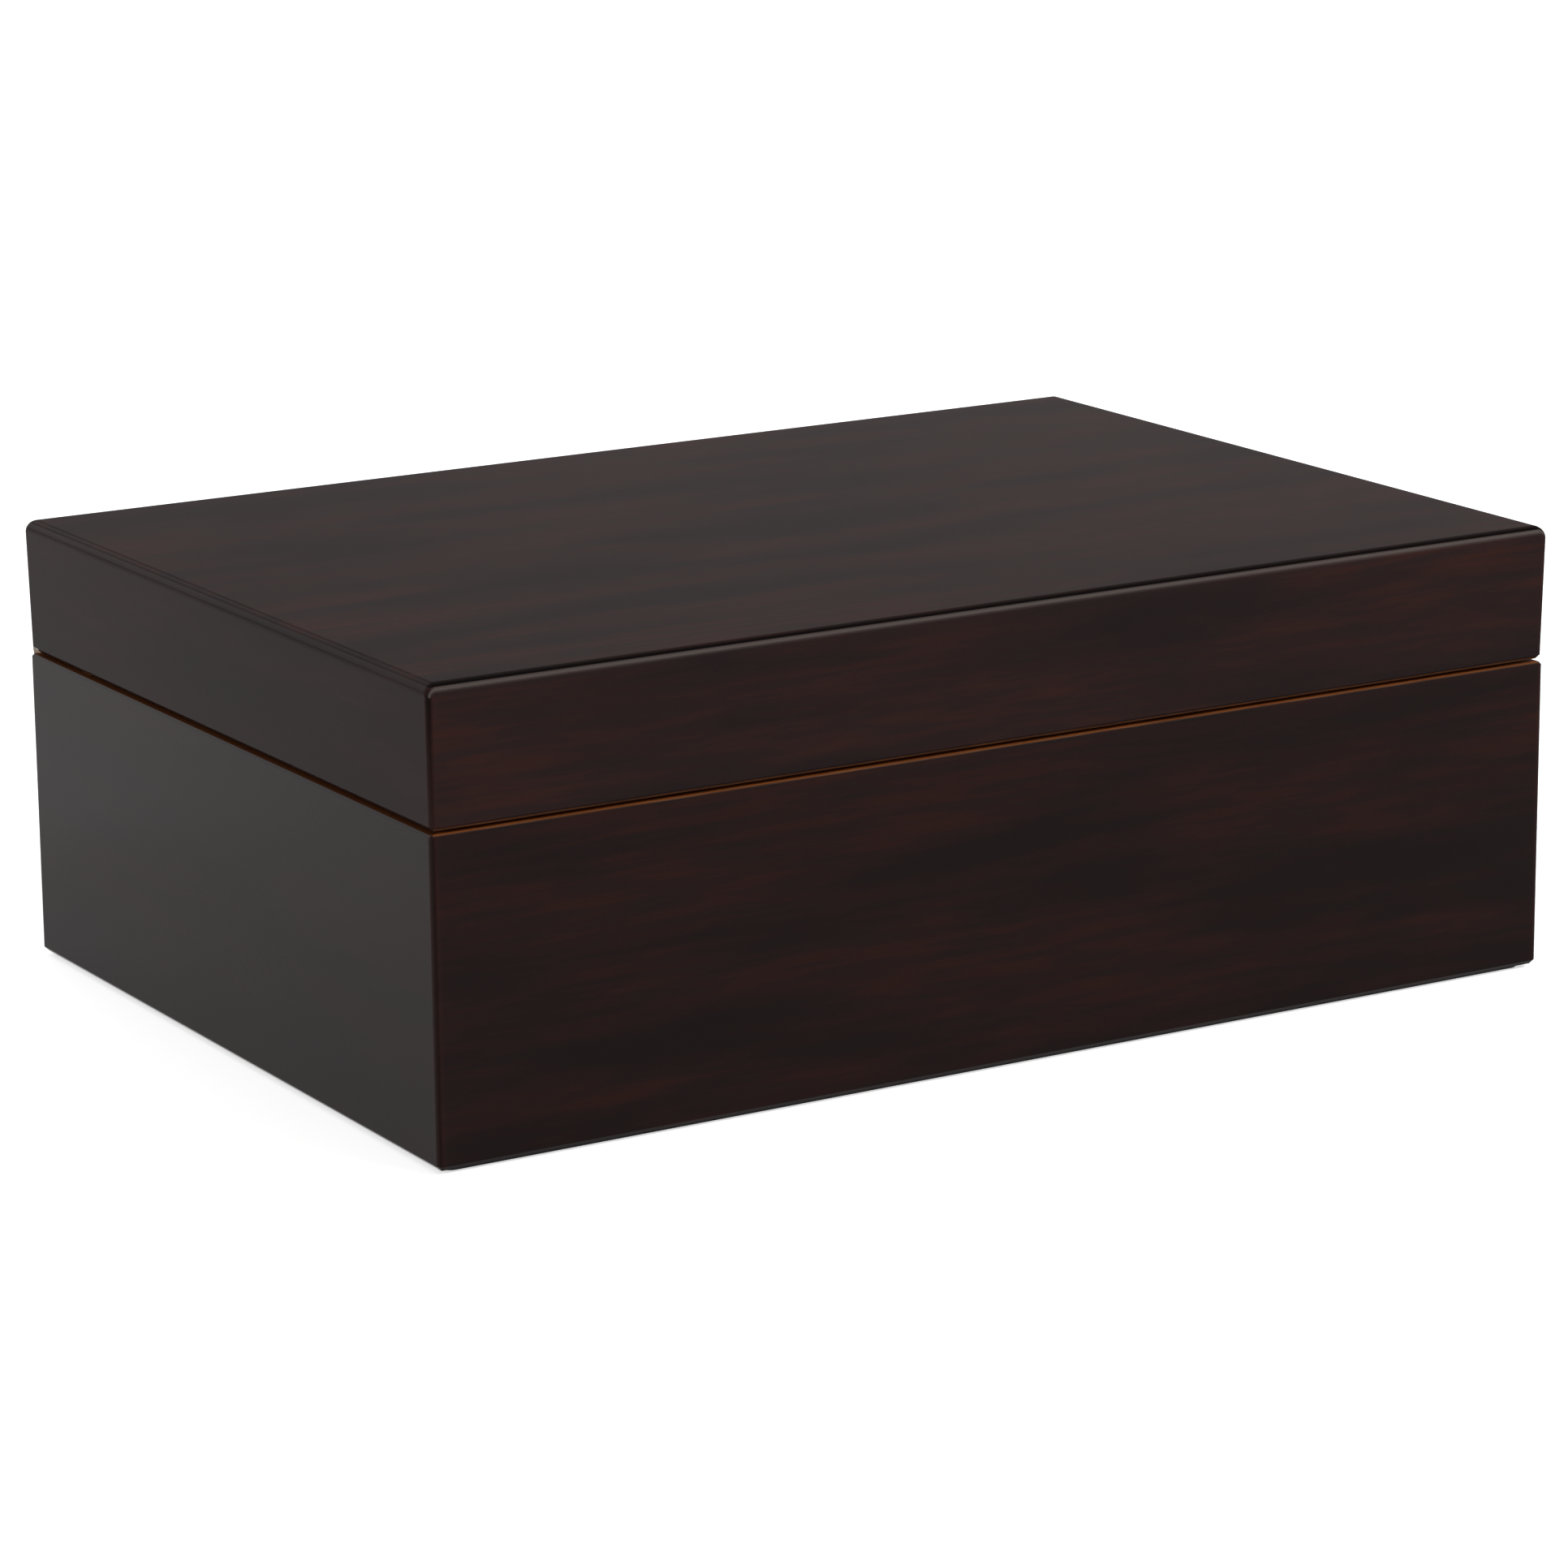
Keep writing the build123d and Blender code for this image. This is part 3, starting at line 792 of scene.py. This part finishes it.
class Pattern(Graph):
    """A Geometry Nodes tree with named inputs that is grown into a plain mesh."""

    def __init__(self, name: str, numbers: dict[str, float]) -> None:
        """Opens the tree and makes its inputs.

        Args:
            name: The tree's name.
            numbers: Its number inputs and their values.
        """
        super().__init__(bpy.data.node_groups.new(name, "GeometryNodeTree"))
        self.numbers = numbers
        self.open_sockets("INPUT", "Geometry", ("Geometry",))
        self.open_sockets("OUTPUT", "Geometry", ("Geometry",))
        self.open_sockets("INPUT", "Material", ("Finish",))
        self.open_sockets("INPUT", "Float", numbers)
        self.given = self.add("NodeGroupInput").outputs

    def shape(self, kind: str, feeds: Feeds, **settings: object) -> Socket:
        """The mesh that one of the Mesh nodes makes."""
        return self.add(f"GeometryNodeMesh{kind}", feeds, **settings).outputs["Mesh"]

    def raised(self, shape: Socket, height: Feed) -> Socket:
        """A shape moved up by a height."""
        feeds = {"Geometry": shape, "Translation": self.join(z=height)}
        return self.add("GeometryNodeTransform", feeds).outputs[0]

    def close(self, points: Socket, instance: Socket, rotation: Socket) -> None:
        """Ends the tree in plain faces with their material.

        Args:
            points: Where the copies go.
            instance: What is copied.
            rotation: How each copy is turned.
        """
        feeds = {"Points": points, "Instance": instance, "Rotation": rotation}
        copies = self.add("GeometryNodeInstanceOnPoints", feeds).outputs[0]
        real = self.add("GeometryNodeRealizeInstances", {0: copies}).outputs[0]
        feeds = {"Geometry": real, "Material": self.given["Finish"]}
        done = self.add("GeometryNodeSetMaterial", feeds).outputs[0]
        self.add("NodeGroupOutput", {"Geometry": done})

    def grow(self, name: str, points: Sequence[Vector], finish: Finish) -> bpy.types.Mesh:
        """Grows the pattern on some points.

        Args:
            name: The mesh's name.
            points: Where the pattern's copies go.
            finish: The finish of its faces.

        Returns:
            A plain mesh.
        """
        seeds = bpy.data.meshes.new(name + "_points")
        seeds.from_pydata([tuple(point) for point in points], [], [])
        host = placed(name + "_host", seeds)
        modifier = host.modifiers.new(name, "NODES")
        modifier.node_group = self.tree
        values = {**self.numbers, "Finish": finish.material}
        for item in self.tree.interface.items_tree:
            if item.in_out == "INPUT" and item.name in values:
                modifier[item.identifier] = values[item.name]
        mesh = mesh_taken_from(host)
        mesh.name = name
        return mesh


@dataclass(frozen=True)
class Sides:
    """How two facing sides of the case are lacquered."""

    names: tuple[str, str]
    grain: Grain
    warmth: float
    worn: float
    # Below 1, darkens the raw wood at the seam: painted shade on the left and right sides.
    rawness: float
    gloss: float
    # The colour of the painted highlight along the lid's rounded top edge.
    edge_light: Colour | None = None


@dataclass(frozen=True)
class Half:
    """How the base or the lid is lacquered."""

    name: str
    step: float
    tone: float
    ior: float
    worn_reach: float
    wear: float
    # The raw wood's colour; the base's greyer one is partly a painted highlight.
    raw: Colour
    # Whether the half's boards get the painted highlight.
    lit: bool


@dataclass
class Case(Maker):
    """The lacquered boards of the base and the lid."""

    shifts: tuple[tuple[float, float], ...] = ((0.0, 0.0), (0.7, 0.13))
    halves: tuple[Half, ...] = (
        Half("lid", 0.31, 1.0, 1.08, 0.0013, 0.5, (0.27, 0.105, 0.038, 1), True),
        # The base's raw wood is greyer than the lid's; on its worn front bevel this is partly a painted
        # highlight along the seam.
        Half("base", 0.0, 0.76, 1.122, 0.0008, 1.0, (0.12, 0.06, 0.033, 1), False),
    )
    sides: tuple[Sides, ...] = (
        # Front and back: the painted highlight along the lid's rounded top edge.
        Sides(("front", "back"), Grain.ALONG_X, 0.85, 0.9, 1.0, 0.5, (0.070, 0.057, 0.052, 1)),
        # Left and right: raw wood at the seam darkened as painted shade.
        Sides(("left", "right"), Grain.ALONG_Y, 0.2, 0.0, 0.35, 1.0),
    )

    def build(self) -> None:
        """Lacquers each board along its grain."""
        for half in self.halves:
            for sides in self.sides:
                for name, shift in zip(sides.names, self.shifts):
                    finish = self._lacquer(half, sides, name, shift)
                    self.dress(finish, f"{half.name}_{name}")
        # The top's rounded front and back edges, and faintly its side edges, carry painted shade.
        top = Lacquer(
            "lacquer_lid_top", shift=(1.9, 0.4, 0.0), tone=1.1, warmth=0.8, ior=1.046, edge_shade=(0.25, 1.0)
        )
        self.dress(top, "lid_top")
        self.dress(Lacquer("lacquer_base_bottom", shift=(2.9, 0.0, 0.2)), "base_bottom")
        LOG.info("case lacquered")

    def _lacquer(self, half: Half, sides: Sides, name: str, shift: tuple[float, float]) -> Lacquer:
        """The lacquer of one side board of the base or the lid.

        Args:
            half: Which of the two.
            sides: The pair that the board is one of.
            name: The board's name in the pair.
            shift: How far its grain is moved along and across it.

        Returns:
            The finish.
        """
        return Lacquer(
            f"lacquer_{half.name}_{name}",
            sides.grain,
            (shift[0], half.step, shift[1]),
            tone=half.tone,
            warmth=sides.warmth,
            ior=1.0 + sides.gloss * (half.ior - 1.0),
            worn=half.wear * sides.worn,
            worn_reach=half.worn_reach,
            # Only the lid gets the painted highlight.
            edge_light=sides.edge_light if half.lit else None,
            # Painted shade darkens the raw wood of the left and right boards.
            raw=scaled(half.raw, sides.rawness),
            rim=scaled(Lacquer.rim, sides.rawness),
        )


@dataclass
class CedarWork(Maker):
    """The cedar of the base, the lid and the tray."""

    def build(self) -> None:
        """Gives each cedar board its grain, with a shift of its own."""
        along_x = {
            "lining_bottom": 0.0,
            "lining_front": 0.5,
            "lining_back": 0.9,
            "lid_lining_top": 1.4,
            "lid_lining_front": 1.8,
            "lid_lining_back": 2.3,
        }
        along_y = {
            "lining_left": 0.2,
            "lining_right": 0.7,
            "lid_lining_left": 1.1,
            "lid_lining_right": 1.6,
            "tray_ledge_left": 2.1,
            "tray_ledge_right": 2.6,
            "base_divider": 3.1,
        }
        boards = [(name, Grain.ALONG_X, (shift, shift, 0.0)) for name, shift in along_x.items()]
        boards += [(name, Grain.ALONG_Y, (shift, shift, 0.0)) for name, shift in along_y.items()]
        for i, side in enumerate(("front", "back", "bottom")):
            boards.append((f"tray_{side}", Grain.ALONG_X, (0.3 + 0.6 * i, 0.8, 0.0)))
        for i, side in enumerate(("left", "right", "divider")):
            boards.append((f"tray_{side}", Grain.ALONG_Y, (0.5 + 0.6 * i, 0.1, 0.0)))
        for name, grain, shift in boards:
            self.dress(Cedar(f"cedar_{name}", grain, shift), name)
        LOG.info("cedar dressed")


@dataclass
class QuadrantHinges(Maker):
    """The brass leaves, pins, arms and slotted screws."""

    head_radius: float = 0.00195
    head_height: float = 0.0015
    shank_radius: float = 0.0007
    length: float = 0.009
    slot_width: float = 0.0005
    slot_depth: float = 0.0005
    head_sides: int = 28
    dull: Colour = (0.09, 0.05, 0.02, 1)

    def build(self) -> None:
        """Dresses the brass and makes the screws."""
        leaf = Metal("leaf_brass", Grain.ALONG_Y, sawn=self.dull)
        arm = Metal("arm_brass", Grain.ALONG_Y, rough=0.3)
        pin = Metal("pin_brass", smooth=0.18, sawn=self.dull)
        for side in ("left", "right"):
            self.dress(leaf, f"hinge_base_leaf_{side}", f"hinge_lid_leaf_{side}")
            self.dress(arm, f"hinge_arm_{side}")
            self.dress(pin, f"hinge_pin_{side}")
        screw = Metal("screw_brass", clean=(0.82, 0.58, 0.26, 1))
        for body, turn_over in (("base", 0.0), ("lid", pi)):
            node = f"hinge_{body}_screws"
            name, places = f"{body}_screws", self._places(node, body)
            mesh = self._screw_pattern(turn_over).grow(name, places, screw)
            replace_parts(self.piece(name, mesh, body, "brass"), node)
        LOG.info("hinges dressed, with slotted screws")

    def _places(self, node: str, body: str) -> list[Vector]:
        """Finds the screws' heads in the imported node.

        Args:
            node: The node of the screws.
            body: The body that they hold.

        Returns:
            The middle of each head's face.
        """
        low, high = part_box(node)
        level = high.z if body == "base" else low.z
        points = self.nodes[node].data.vertices
        heads = [v.co for v in points if abs(v.co.z - level) < self.head_height / 4]
        places: list[list[Vector]] = []
        for point in heads:
            near = [group for group in places if (group[0] - point).length < 2.5 * self.head_radius]
            if near:
                near[0].append(point)
            else:
                places.append([point])
        return [self._middle(group) for group in places]

    @staticmethod
    def _middle(points: Sequence[Vector]) -> Vector:
        """The middle of the box round some points."""
        return Vector([(min(p[i] for p in points) + max(p[i] for p in points)) / 2 for i in range(3)])

    def _screw_pattern(self, turn_over: float) -> Pattern:
        """Makes the tree of one countersunk screw, copied to points.

        Args:
            turn_over: The turn about X that points the screws into their board.

        Returns:
            The pattern.
        """
        numbers = {
            "Head radius": self.head_radius,
            "Head height": self.head_height,
            "Shank radius": self.shank_radius,
            "Length": self.length,
            "Slot width": self.slot_width,
            "Slot depth": self.slot_depth,
            "Turn over": turn_over,
            "Seed": 7.0,
        }
        pattern = Pattern("slotted screws", numbers)
        given, times = pattern.given, pattern.times
        sink = times(given["Head height"], -1.0)
        cone = {
            "Vertices": self.head_sides,
            "Radius Top": given["Head radius"],
            "Radius Bottom": given["Shank radius"],
            "Depth": given["Head height"],
        }
        head = pattern.raised(pattern.shape("Cone", cone), sink)
        length = pattern.math("SUBTRACT", given["Length"], given["Head height"])
        rod = {"Vertices": self.head_sides // 2, "Radius": given["Shank radius"], "Depth": length}
        middle = pattern.math("MULTIPLY_ADD", length, -0.5, sink)
        shank = pattern.raised(pattern.shape("Cylinder", rod), middle)
        across, deep = times(given["Head radius"], 3.0), times(given["Slot depth"], 2.0)
        slot = pattern.shape("Cube", {"Size": pattern.join(across, given["Slot width"], deep)})
        cut = pattern.shape("Boolean", {"Mesh 1": head, "Mesh 2": slot}, operation="DIFFERENCE")
        screw = pattern.add("GeometryNodeJoinGeometry")
        for part in (cut, shank):
            pattern.feed(screw.inputs[0], part)
        feeds = {"Min": (0.0, 0.0, 0.0), "Max": (0.0, 0.0, pi), "Seed": given["Seed"]}
        spin = pattern.add("FunctionNodeRandomValue", feeds, data_type="FLOAT_VECTOR").outputs[0]
        turn = pattern.vector("ADD", spin, pattern.join(given["Turn over"]))
        pattern.close(given["Geometry"], screw.outputs[0], turn)
        return pattern


@dataclass
class Hygrometer(Maker):
    """The round gauge under the lid, which looks down into the box."""

    full_scale: int = 100
    scale_sweep: float = radians(270.0)
    middle_angle: float = radians(-90.0)
    tick_radius: float = 0.0158
    tick_lift: float = 0.00003
    number_radius: float = 0.0112
    number_size: float = 0.0031
    number_step: int = 20
    sign_share: float = 0.8

    def build(self) -> None:
        """Dresses the gauge and prints its dial."""
        brass = Metal("gauge_brass", smooth=0.16, rough=0.24)
        self.dress(brass, "hygrometer_bezel", "hygrometer_case")
        self.dress(Glass("gauge_glass"), "hygrometer_lens")
        dial = Speckled("dial_cream", (0.78, 0.74, 0.62, 1), (0.72, 0.67, 0.54, 1), roughness=0.55)
        self.dress(dial, "hygrometer_dial")
        needle = Speckled("needle_paint", (0.012, 0.012, 0.014, 1), (0.02, 0.02, 0.022, 1), roughness=0.35)
        self.dress(needle, "hygrometer_needle")
        steel = Metal("gauge_steel", Grain.ALONG_Z, STEEL, STEEL_STAIN)
        self.dress(steel, "hygrometer_shaft")
        self._add_ticks("dial_ticks_fine", 51, 0.0009, 0.00014)
        self._add_ticks("dial_ticks_main", 11, 0.0021, 0.00030)
        self._add_numbers()
        LOG.info("hygrometer dressed, with its dial printed")

    @cached_property
    def face(self) -> Vector:
        """The middle of the dial's face."""
        low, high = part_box("hygrometer_dial")
        return Vector(((low.x + high.x) / 2, (low.y + high.y) / 2, low.z))

    @cached_property
    def ink(self) -> Finish:
        """The finish of what is printed."""
        return Speckled("dial_ink", (0.015, 0.015, 0.015, 1), (0.03, 0.03, 0.03, 1), roughness=0.6)

    def angle(self, percent: float) -> float:
        """Where a reading stands on the dial, counted from +X towards +Y."""
        return self.middle_angle + (percent / self.full_scale - 0.5) * self.scale_sweep

    def _add_ticks(self, name: str, count: int, length: float, width: float) -> None:
        """Prints one ring of ticks.

        Args:
            name: The piece's name.
            count: How many ticks.
            length: Their length towards the middle.
            width: Their width.
        """
        numbers = {
            "Start": self.angle(0),
            "Step": self.scale_sweep / (count - 1),
            "Radius": self.tick_radius - length / 2,
            "Length": length,
            "Width": width,
            "Lift": self.tick_lift,
        }
        pattern = Pattern("dial ticks", numbers)
        given = pattern.given
        index = pattern.add("GeometryNodeInputIndex").outputs[0]
        turn = pattern.math("MULTIPLY_ADD", index, given["Step"], given["Start"])
        way = [pattern.math(operation, turn) for operation in ("COSINE", "SINE")]
        place = pattern.join(*(pattern.times(part, given["Radius"]) for part in way))
        feeds = {"Geometry": given["Geometry"], "Offset": place}
        ring = pattern.add("GeometryNodeSetPosition", feeds).outputs[0]
        size = pattern.join(given["Length"], given["Width"], given["Lift"])
        pattern.close(ring, pattern.shape("Cube", {"Size": size}), pattern.join(z=turn))
        self.piece(name, pattern.grow(name, [self.face] * count, self.ink), "lid", "needle")

    def _add_numbers(self) -> None:
        """Prints the numbers of the scale and a percent sign."""
        gathered, radius = bmesh.new(), self.number_radius
        for percent in range(0, self.full_scale + 1, self.number_step):
            turn = self.angle(percent)
            self._add_text(gathered, str(percent), Vector((cos(turn) * radius, sin(turn) * radius, 0)))
        self._add_text(gathered, "%", Vector((0, radius * self.sign_share, 0)))
        self.piece("dial_numbers", mesh_of("dial_numbers", gathered), "lid", "needle", self.ink)

    def _add_text(self, gathered: bmesh.types.BMesh, text: str, place: Vector) -> None:
        """Adds one printed word to a mesh.

        Args:
            gathered: The mesh that it joins.
            text: The word.
            place: Its middle, from the middle of the dial.
        """
        curve = bpy.data.curves.new("number", "FONT")
        curve.body = text
        curve.size = self.number_size
        curve.extrude = self.tick_lift / 2
        curve.align_x = "CENTER"
        curve.align_y = "CENTER"
        curve.resolution_u = 3
        mesh = mesh_taken_from(placed("number", curve))
        mesh.transform(Matrix.Translation(self.face + place) @ Matrix.Rotation(pi, 4, "X"))
        gathered.from_mesh(mesh)
        bpy.data.meshes.remove(mesh)


@dataclass
class Humidifier(Maker):
    """The black case with its grille, foam, magnets and steel plates."""

    foam_columns: int = 64
    foam_rows: int = 20
    crown: float = 0.0006
    crown_power: int = 8
    corner: float = 0.0041

    def build(self) -> None:
        """Dresses the humidifier and makes its foam."""
        plastic = Speckled("black_plastic", (0.012, 0.012, 0.013, 1), (0.02, 0.02, 0.021, 1), roughness=0.42)
        self.dress(plastic, "humidifier_case", "humidifier_grille")
        steel = Metal("plate_steel", Grain.ALONG_X, STEEL, STEEL_STAIN)
        self.dress(steel, "humidifier_magnets", "humidifier_plates")
        green, hollow = (0.055, 0.11, 0.055, 1), (0.012, 0.03, 0.014, 1)
        foam = Speckled("green_foam", green, hollow, size=0.0007, depth=0.0002, roughness=0.8, ior=1.3)
        piece = self.piece("humidifier_pad", self._foam_mesh(), "humidifier", "foam", foam)
        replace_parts(piece, "humidifier_foam")
        LOG.info("humidifier dressed, with its foam")

    def _foam_mesh(self) -> bpy.types.Mesh:
        """A foam block whose large faces swell a little and whose edges are soft.

        Returns:
            The mesh.
        """
        low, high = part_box("humidifier_foam")
        middle, half = (low + high) / 2, (high - low) / 2
        shape = bmesh.new()
        bmesh.ops.create_cube(shape, size=2.0)
        for axis, cuts in enumerate((self.foam_columns, self.foam_rows)):
            edges = [e for e in shape.edges if abs(e.verts[0].co[axis] - e.verts[1].co[axis]) > 1]
            bmesh.ops.subdivide_edges(shape, edges=edges, cuts=cuts, use_grid_fill=True)
        for vertex in shape.verts:
            x, y, z = vertex.co
            height = half.z - self.crown * max(abs(x), abs(y)) ** self.crown_power
            across = self._rounded(x * half.x, y * half.y, half)
            vertex.co = (middle.x + across[0], middle.y + across[1], middle.z + z * height)
        bmesh.ops.recalc_face_normals(shape, faces=shape.faces)
        return mesh_of("humidifier_pad", shape)

    def _rounded(self, x: float, y: float, half: Vector) -> tuple[float, float]:
        """Draws a point near an upright corner of the foam in to a round corner.

        Args:
            x: The point's distance from the middle along X.
            y: The same along Y.
            half: Half of the foam's size.

        Returns:
            The point on the rounded foam.
        """
        past_x, past_y = abs(x) - half.x + self.corner, abs(y) - half.y + self.corner
        if min(past_x, past_y) <= 0:
            return x, y
        share = max(past_x, past_y) / (past_x * past_x + past_y * past_y) ** 0.5
        new_x, new_y = abs(x) - past_x * (1 - share), abs(y) - past_y * (1 - share)
        return (new_x if x > 0 else -new_x), (new_y if y > 0 else -new_y)


@dataclass
class FeltPad(Maker):
    """The black felt that the box rests on."""

    corner: float = 0.003
    corner_steps: int = 6

    def build(self) -> None:
        """Makes the felt and lays it under the base."""
        low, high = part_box("felt_pad")
        shape = bmesh.new()
        outline = [shape.verts.new((x, y, low.z)) for x, y in self._outline(low, high)]
        face = shape.faces.new(outline)
        risen = bmesh.ops.extrude_face_region(shape, geom=[face])["geom"]
        lifted = [item for item in risen if isinstance(item, bmesh.types.BMVert)]
        bmesh.ops.translate(shape, verts=lifted, vec=(0, 0, high.z - low.z))
        bmesh.ops.recalc_face_normals(shape, faces=shape.faces)
        black, fibre = (0.010, 0.010, 0.011, 1), (0.028, 0.028, 0.030, 1)
        felt = Speckled("black_felt", black, fibre, size=0.0005, depth=0.0002, roughness=0.85, sheen=0.25)
        piece = self.piece("felt_sheet", mesh_of("felt_sheet", shape), "base", "felt", felt)
        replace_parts(piece, "felt_pad")
        LOG.info("felt laid")

    def _outline(self, low: Vector, high: Vector) -> list[tuple[float, float]]:
        """The felt's outline with its rounded corners.

        Args:
            low: The lowest corner of its box.
            high: The highest corner.

        Returns:
            The outline's points, anticlockwise.
        """
        right, back = high.x - self.corner, high.y - self.corner
        left, front = low.x + self.corner, low.y + self.corner
        corners = ((right, back, 0.0), (left, back, 0.5), (left, front, 1.0), (right, front, 1.5))
        points = []
        for x, y, start in corners:
            for step in range(self.corner_steps + 1):
                turn = pi * (start + 0.5 * step / self.corner_steps)
                points.append((x + self.corner * cos(turn), y + self.corner * sin(turn)))
        return points


@dataclass(frozen=True)
class Softbox:
    """One soft lamp."""

    name: str
    place: Place
    width: float
    height: float
    power: float


@dataclass
class Studio:
    """A pale floor, soft light and the photograph's camera."""

    camera_place: Place = (-0.7575, -1.2585, 0.4230)
    yaw: float = radians(31.07)
    pitch: float = radians(14.29)
    roll: float = radians(-0.52)
    focal_length: float = 130.49
    floor_size: float = 16.0
    floor_colour: Colour = (0.82, 0.82, 0.82, 1)
    aim: Place = (0.0, 0.0, 0.05)
    ambient: float = 0.45
    shown: tuple[float, float] = (1.0, 0.35)
    fade: tuple[float, float] = (0.02, 0.17)
    floor_glow: float = 0.6
    softboxes: tuple[Softbox, ...] = (
        Softbox("left softbox", (-2.4, -0.3, 0.9), 1.4, 1.2, 14.0),
        Softbox("edge strip", (1.3, -1.5, 1.75), 1.6, 0.2, 50.0),
        Softbox("back softbox", (-0.8, 2.6, 1.6), 3.0, 2.4, 36.0),
    )

    def build(self) -> None:
        """Sets up the camera, the lamps, the surroundings and the floor."""
        self._add_camera()
        for softbox in self.softboxes:
            self._add_softbox(softbox)
        self._add_world()
        self._add_floor()
        bpy.context.scene.view_settings.view_transform = "Standard"
        LOG.info("studio set up")

    def _add_camera(self) -> None:
        """Sets up the camera that the photograph was taken with."""
        level = Vector((cos(self.yaw), -sin(self.yaw), 0))
        flat = cos(self.pitch)
        forward = Vector((sin(self.yaw) * flat, cos(self.yaw) * flat, -sin(self.pitch)))
        right = Matrix.Rotation(-self.roll, 3, forward) @ level
        up = right.cross(forward)
        data = bpy.data.cameras.new("camera")
        data.lens = self.focal_length
        data.sensor_width = 36
        data.clip_end = 50
        camera = placed("camera", data)
        turn = Matrix((right, up, -forward)).transposed().to_4x4()
        camera.matrix_world = Matrix.Translation(self.camera_place) @ turn
        bpy.context.scene.camera = camera

    def _add_softbox(self, softbox: Softbox) -> None:
        """Hangs one lamp and turns it to the box.

        Args:
            softbox: The lamp.
        """
        data = bpy.data.lights.new(softbox.name, "AREA")
        data.shape = "RECTANGLE"
        data.size = softbox.width
        data.size_y = softbox.height
        data.energy = softbox.power
        lamp = placed(softbox.name, data)
        lamp.location = softbox.place
        way = Vector(self.aim) - Vector(softbox.place)
        lamp.rotation_euler = way.to_track_quat("-Z", "Y").to_euler()
        lamp.visible_camera = False

    @staticmethod
    def _seen(graph: Graph) -> Socket:
        """A mask of the rays that show the surroundings: to the camera, in gloss or through glass.

        Args:
            graph: The material's graph.

        Returns:
            The mask.
        """
        path = graph.add("ShaderNodeLightPath").outputs
        mirrored = graph.math("MAXIMUM", path["Is Glossy Ray"], path["Is Transmission Ray"])
        return graph.math("MAXIMUM", path["Is Camera Ray"], mirrored)

    def _add_world(self) -> None:
        """Surrounds the box with soft light that shows as white."""
        world = bpy.data.worlds.new("surroundings")
        graph = Graph(fresh_tree(world))
        direction = graph.add("ShaderNodeTexCoord").outputs["Generated"]
        extra = graph.ramp(graph.parts(direction)[2], *self.fade, *(s - self.ambient for s in self.shown))
        strength = graph.math("MULTIPLY_ADD", self._seen(graph), extra, self.ambient)
        light = graph.add("ShaderNodeBackground", {"Color": (1, 1, 1, 1), "Strength": strength})
        graph.add("ShaderNodeOutputWorld", {"Surface": light.outputs[0]})
        bpy.context.scene.world = world

    def _add_floor(self) -> None:
        """Lays a pale floor, which keeps the box's shadow."""
        half = self.floor_size / 2
        corners = [(-half, -half, 0), (half, -half, 0), (half, half, 0), (-half, half, 0)]
        mesh = bpy.data.meshes.new("floor")
        mesh.from_pydata(corners, [], [(0, 1, 2, 3)])
        material = bpy.data.materials.new("floor")
        graph = Graph(fresh_tree(material))
        paint = graph.add("ShaderNodeBsdfDiffuse", {"Color": self.floor_colour}).outputs[0]
        strength = graph.times(self._seen(graph), self.floor_glow)
        glow = graph.add("ShaderNodeEmission", {"Color": (1, 1, 1, 1), "Strength": strength}).outputs[0]
        both = graph.add("ShaderNodeAddShader", {0: paint, 1: glow}).outputs[0]
        graph.add("ShaderNodeOutputMaterial", {"Surface": both})
        mesh.materials.append(material)
        placed("floor", mesh)


def main() -> None:
    """Builds the humidor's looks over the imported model, and its studio."""
    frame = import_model()
    Studio().build()
    for kind in (Case, CedarWork, QuadrantHinges, Hygrometer, Humidifier, FeltPad):
        kind(frame["nodes"]).build()


if __name__ == "__main__":
    logging.basicConfig(level=logging.INFO, format="%(name)s: %(message)s")
    main()
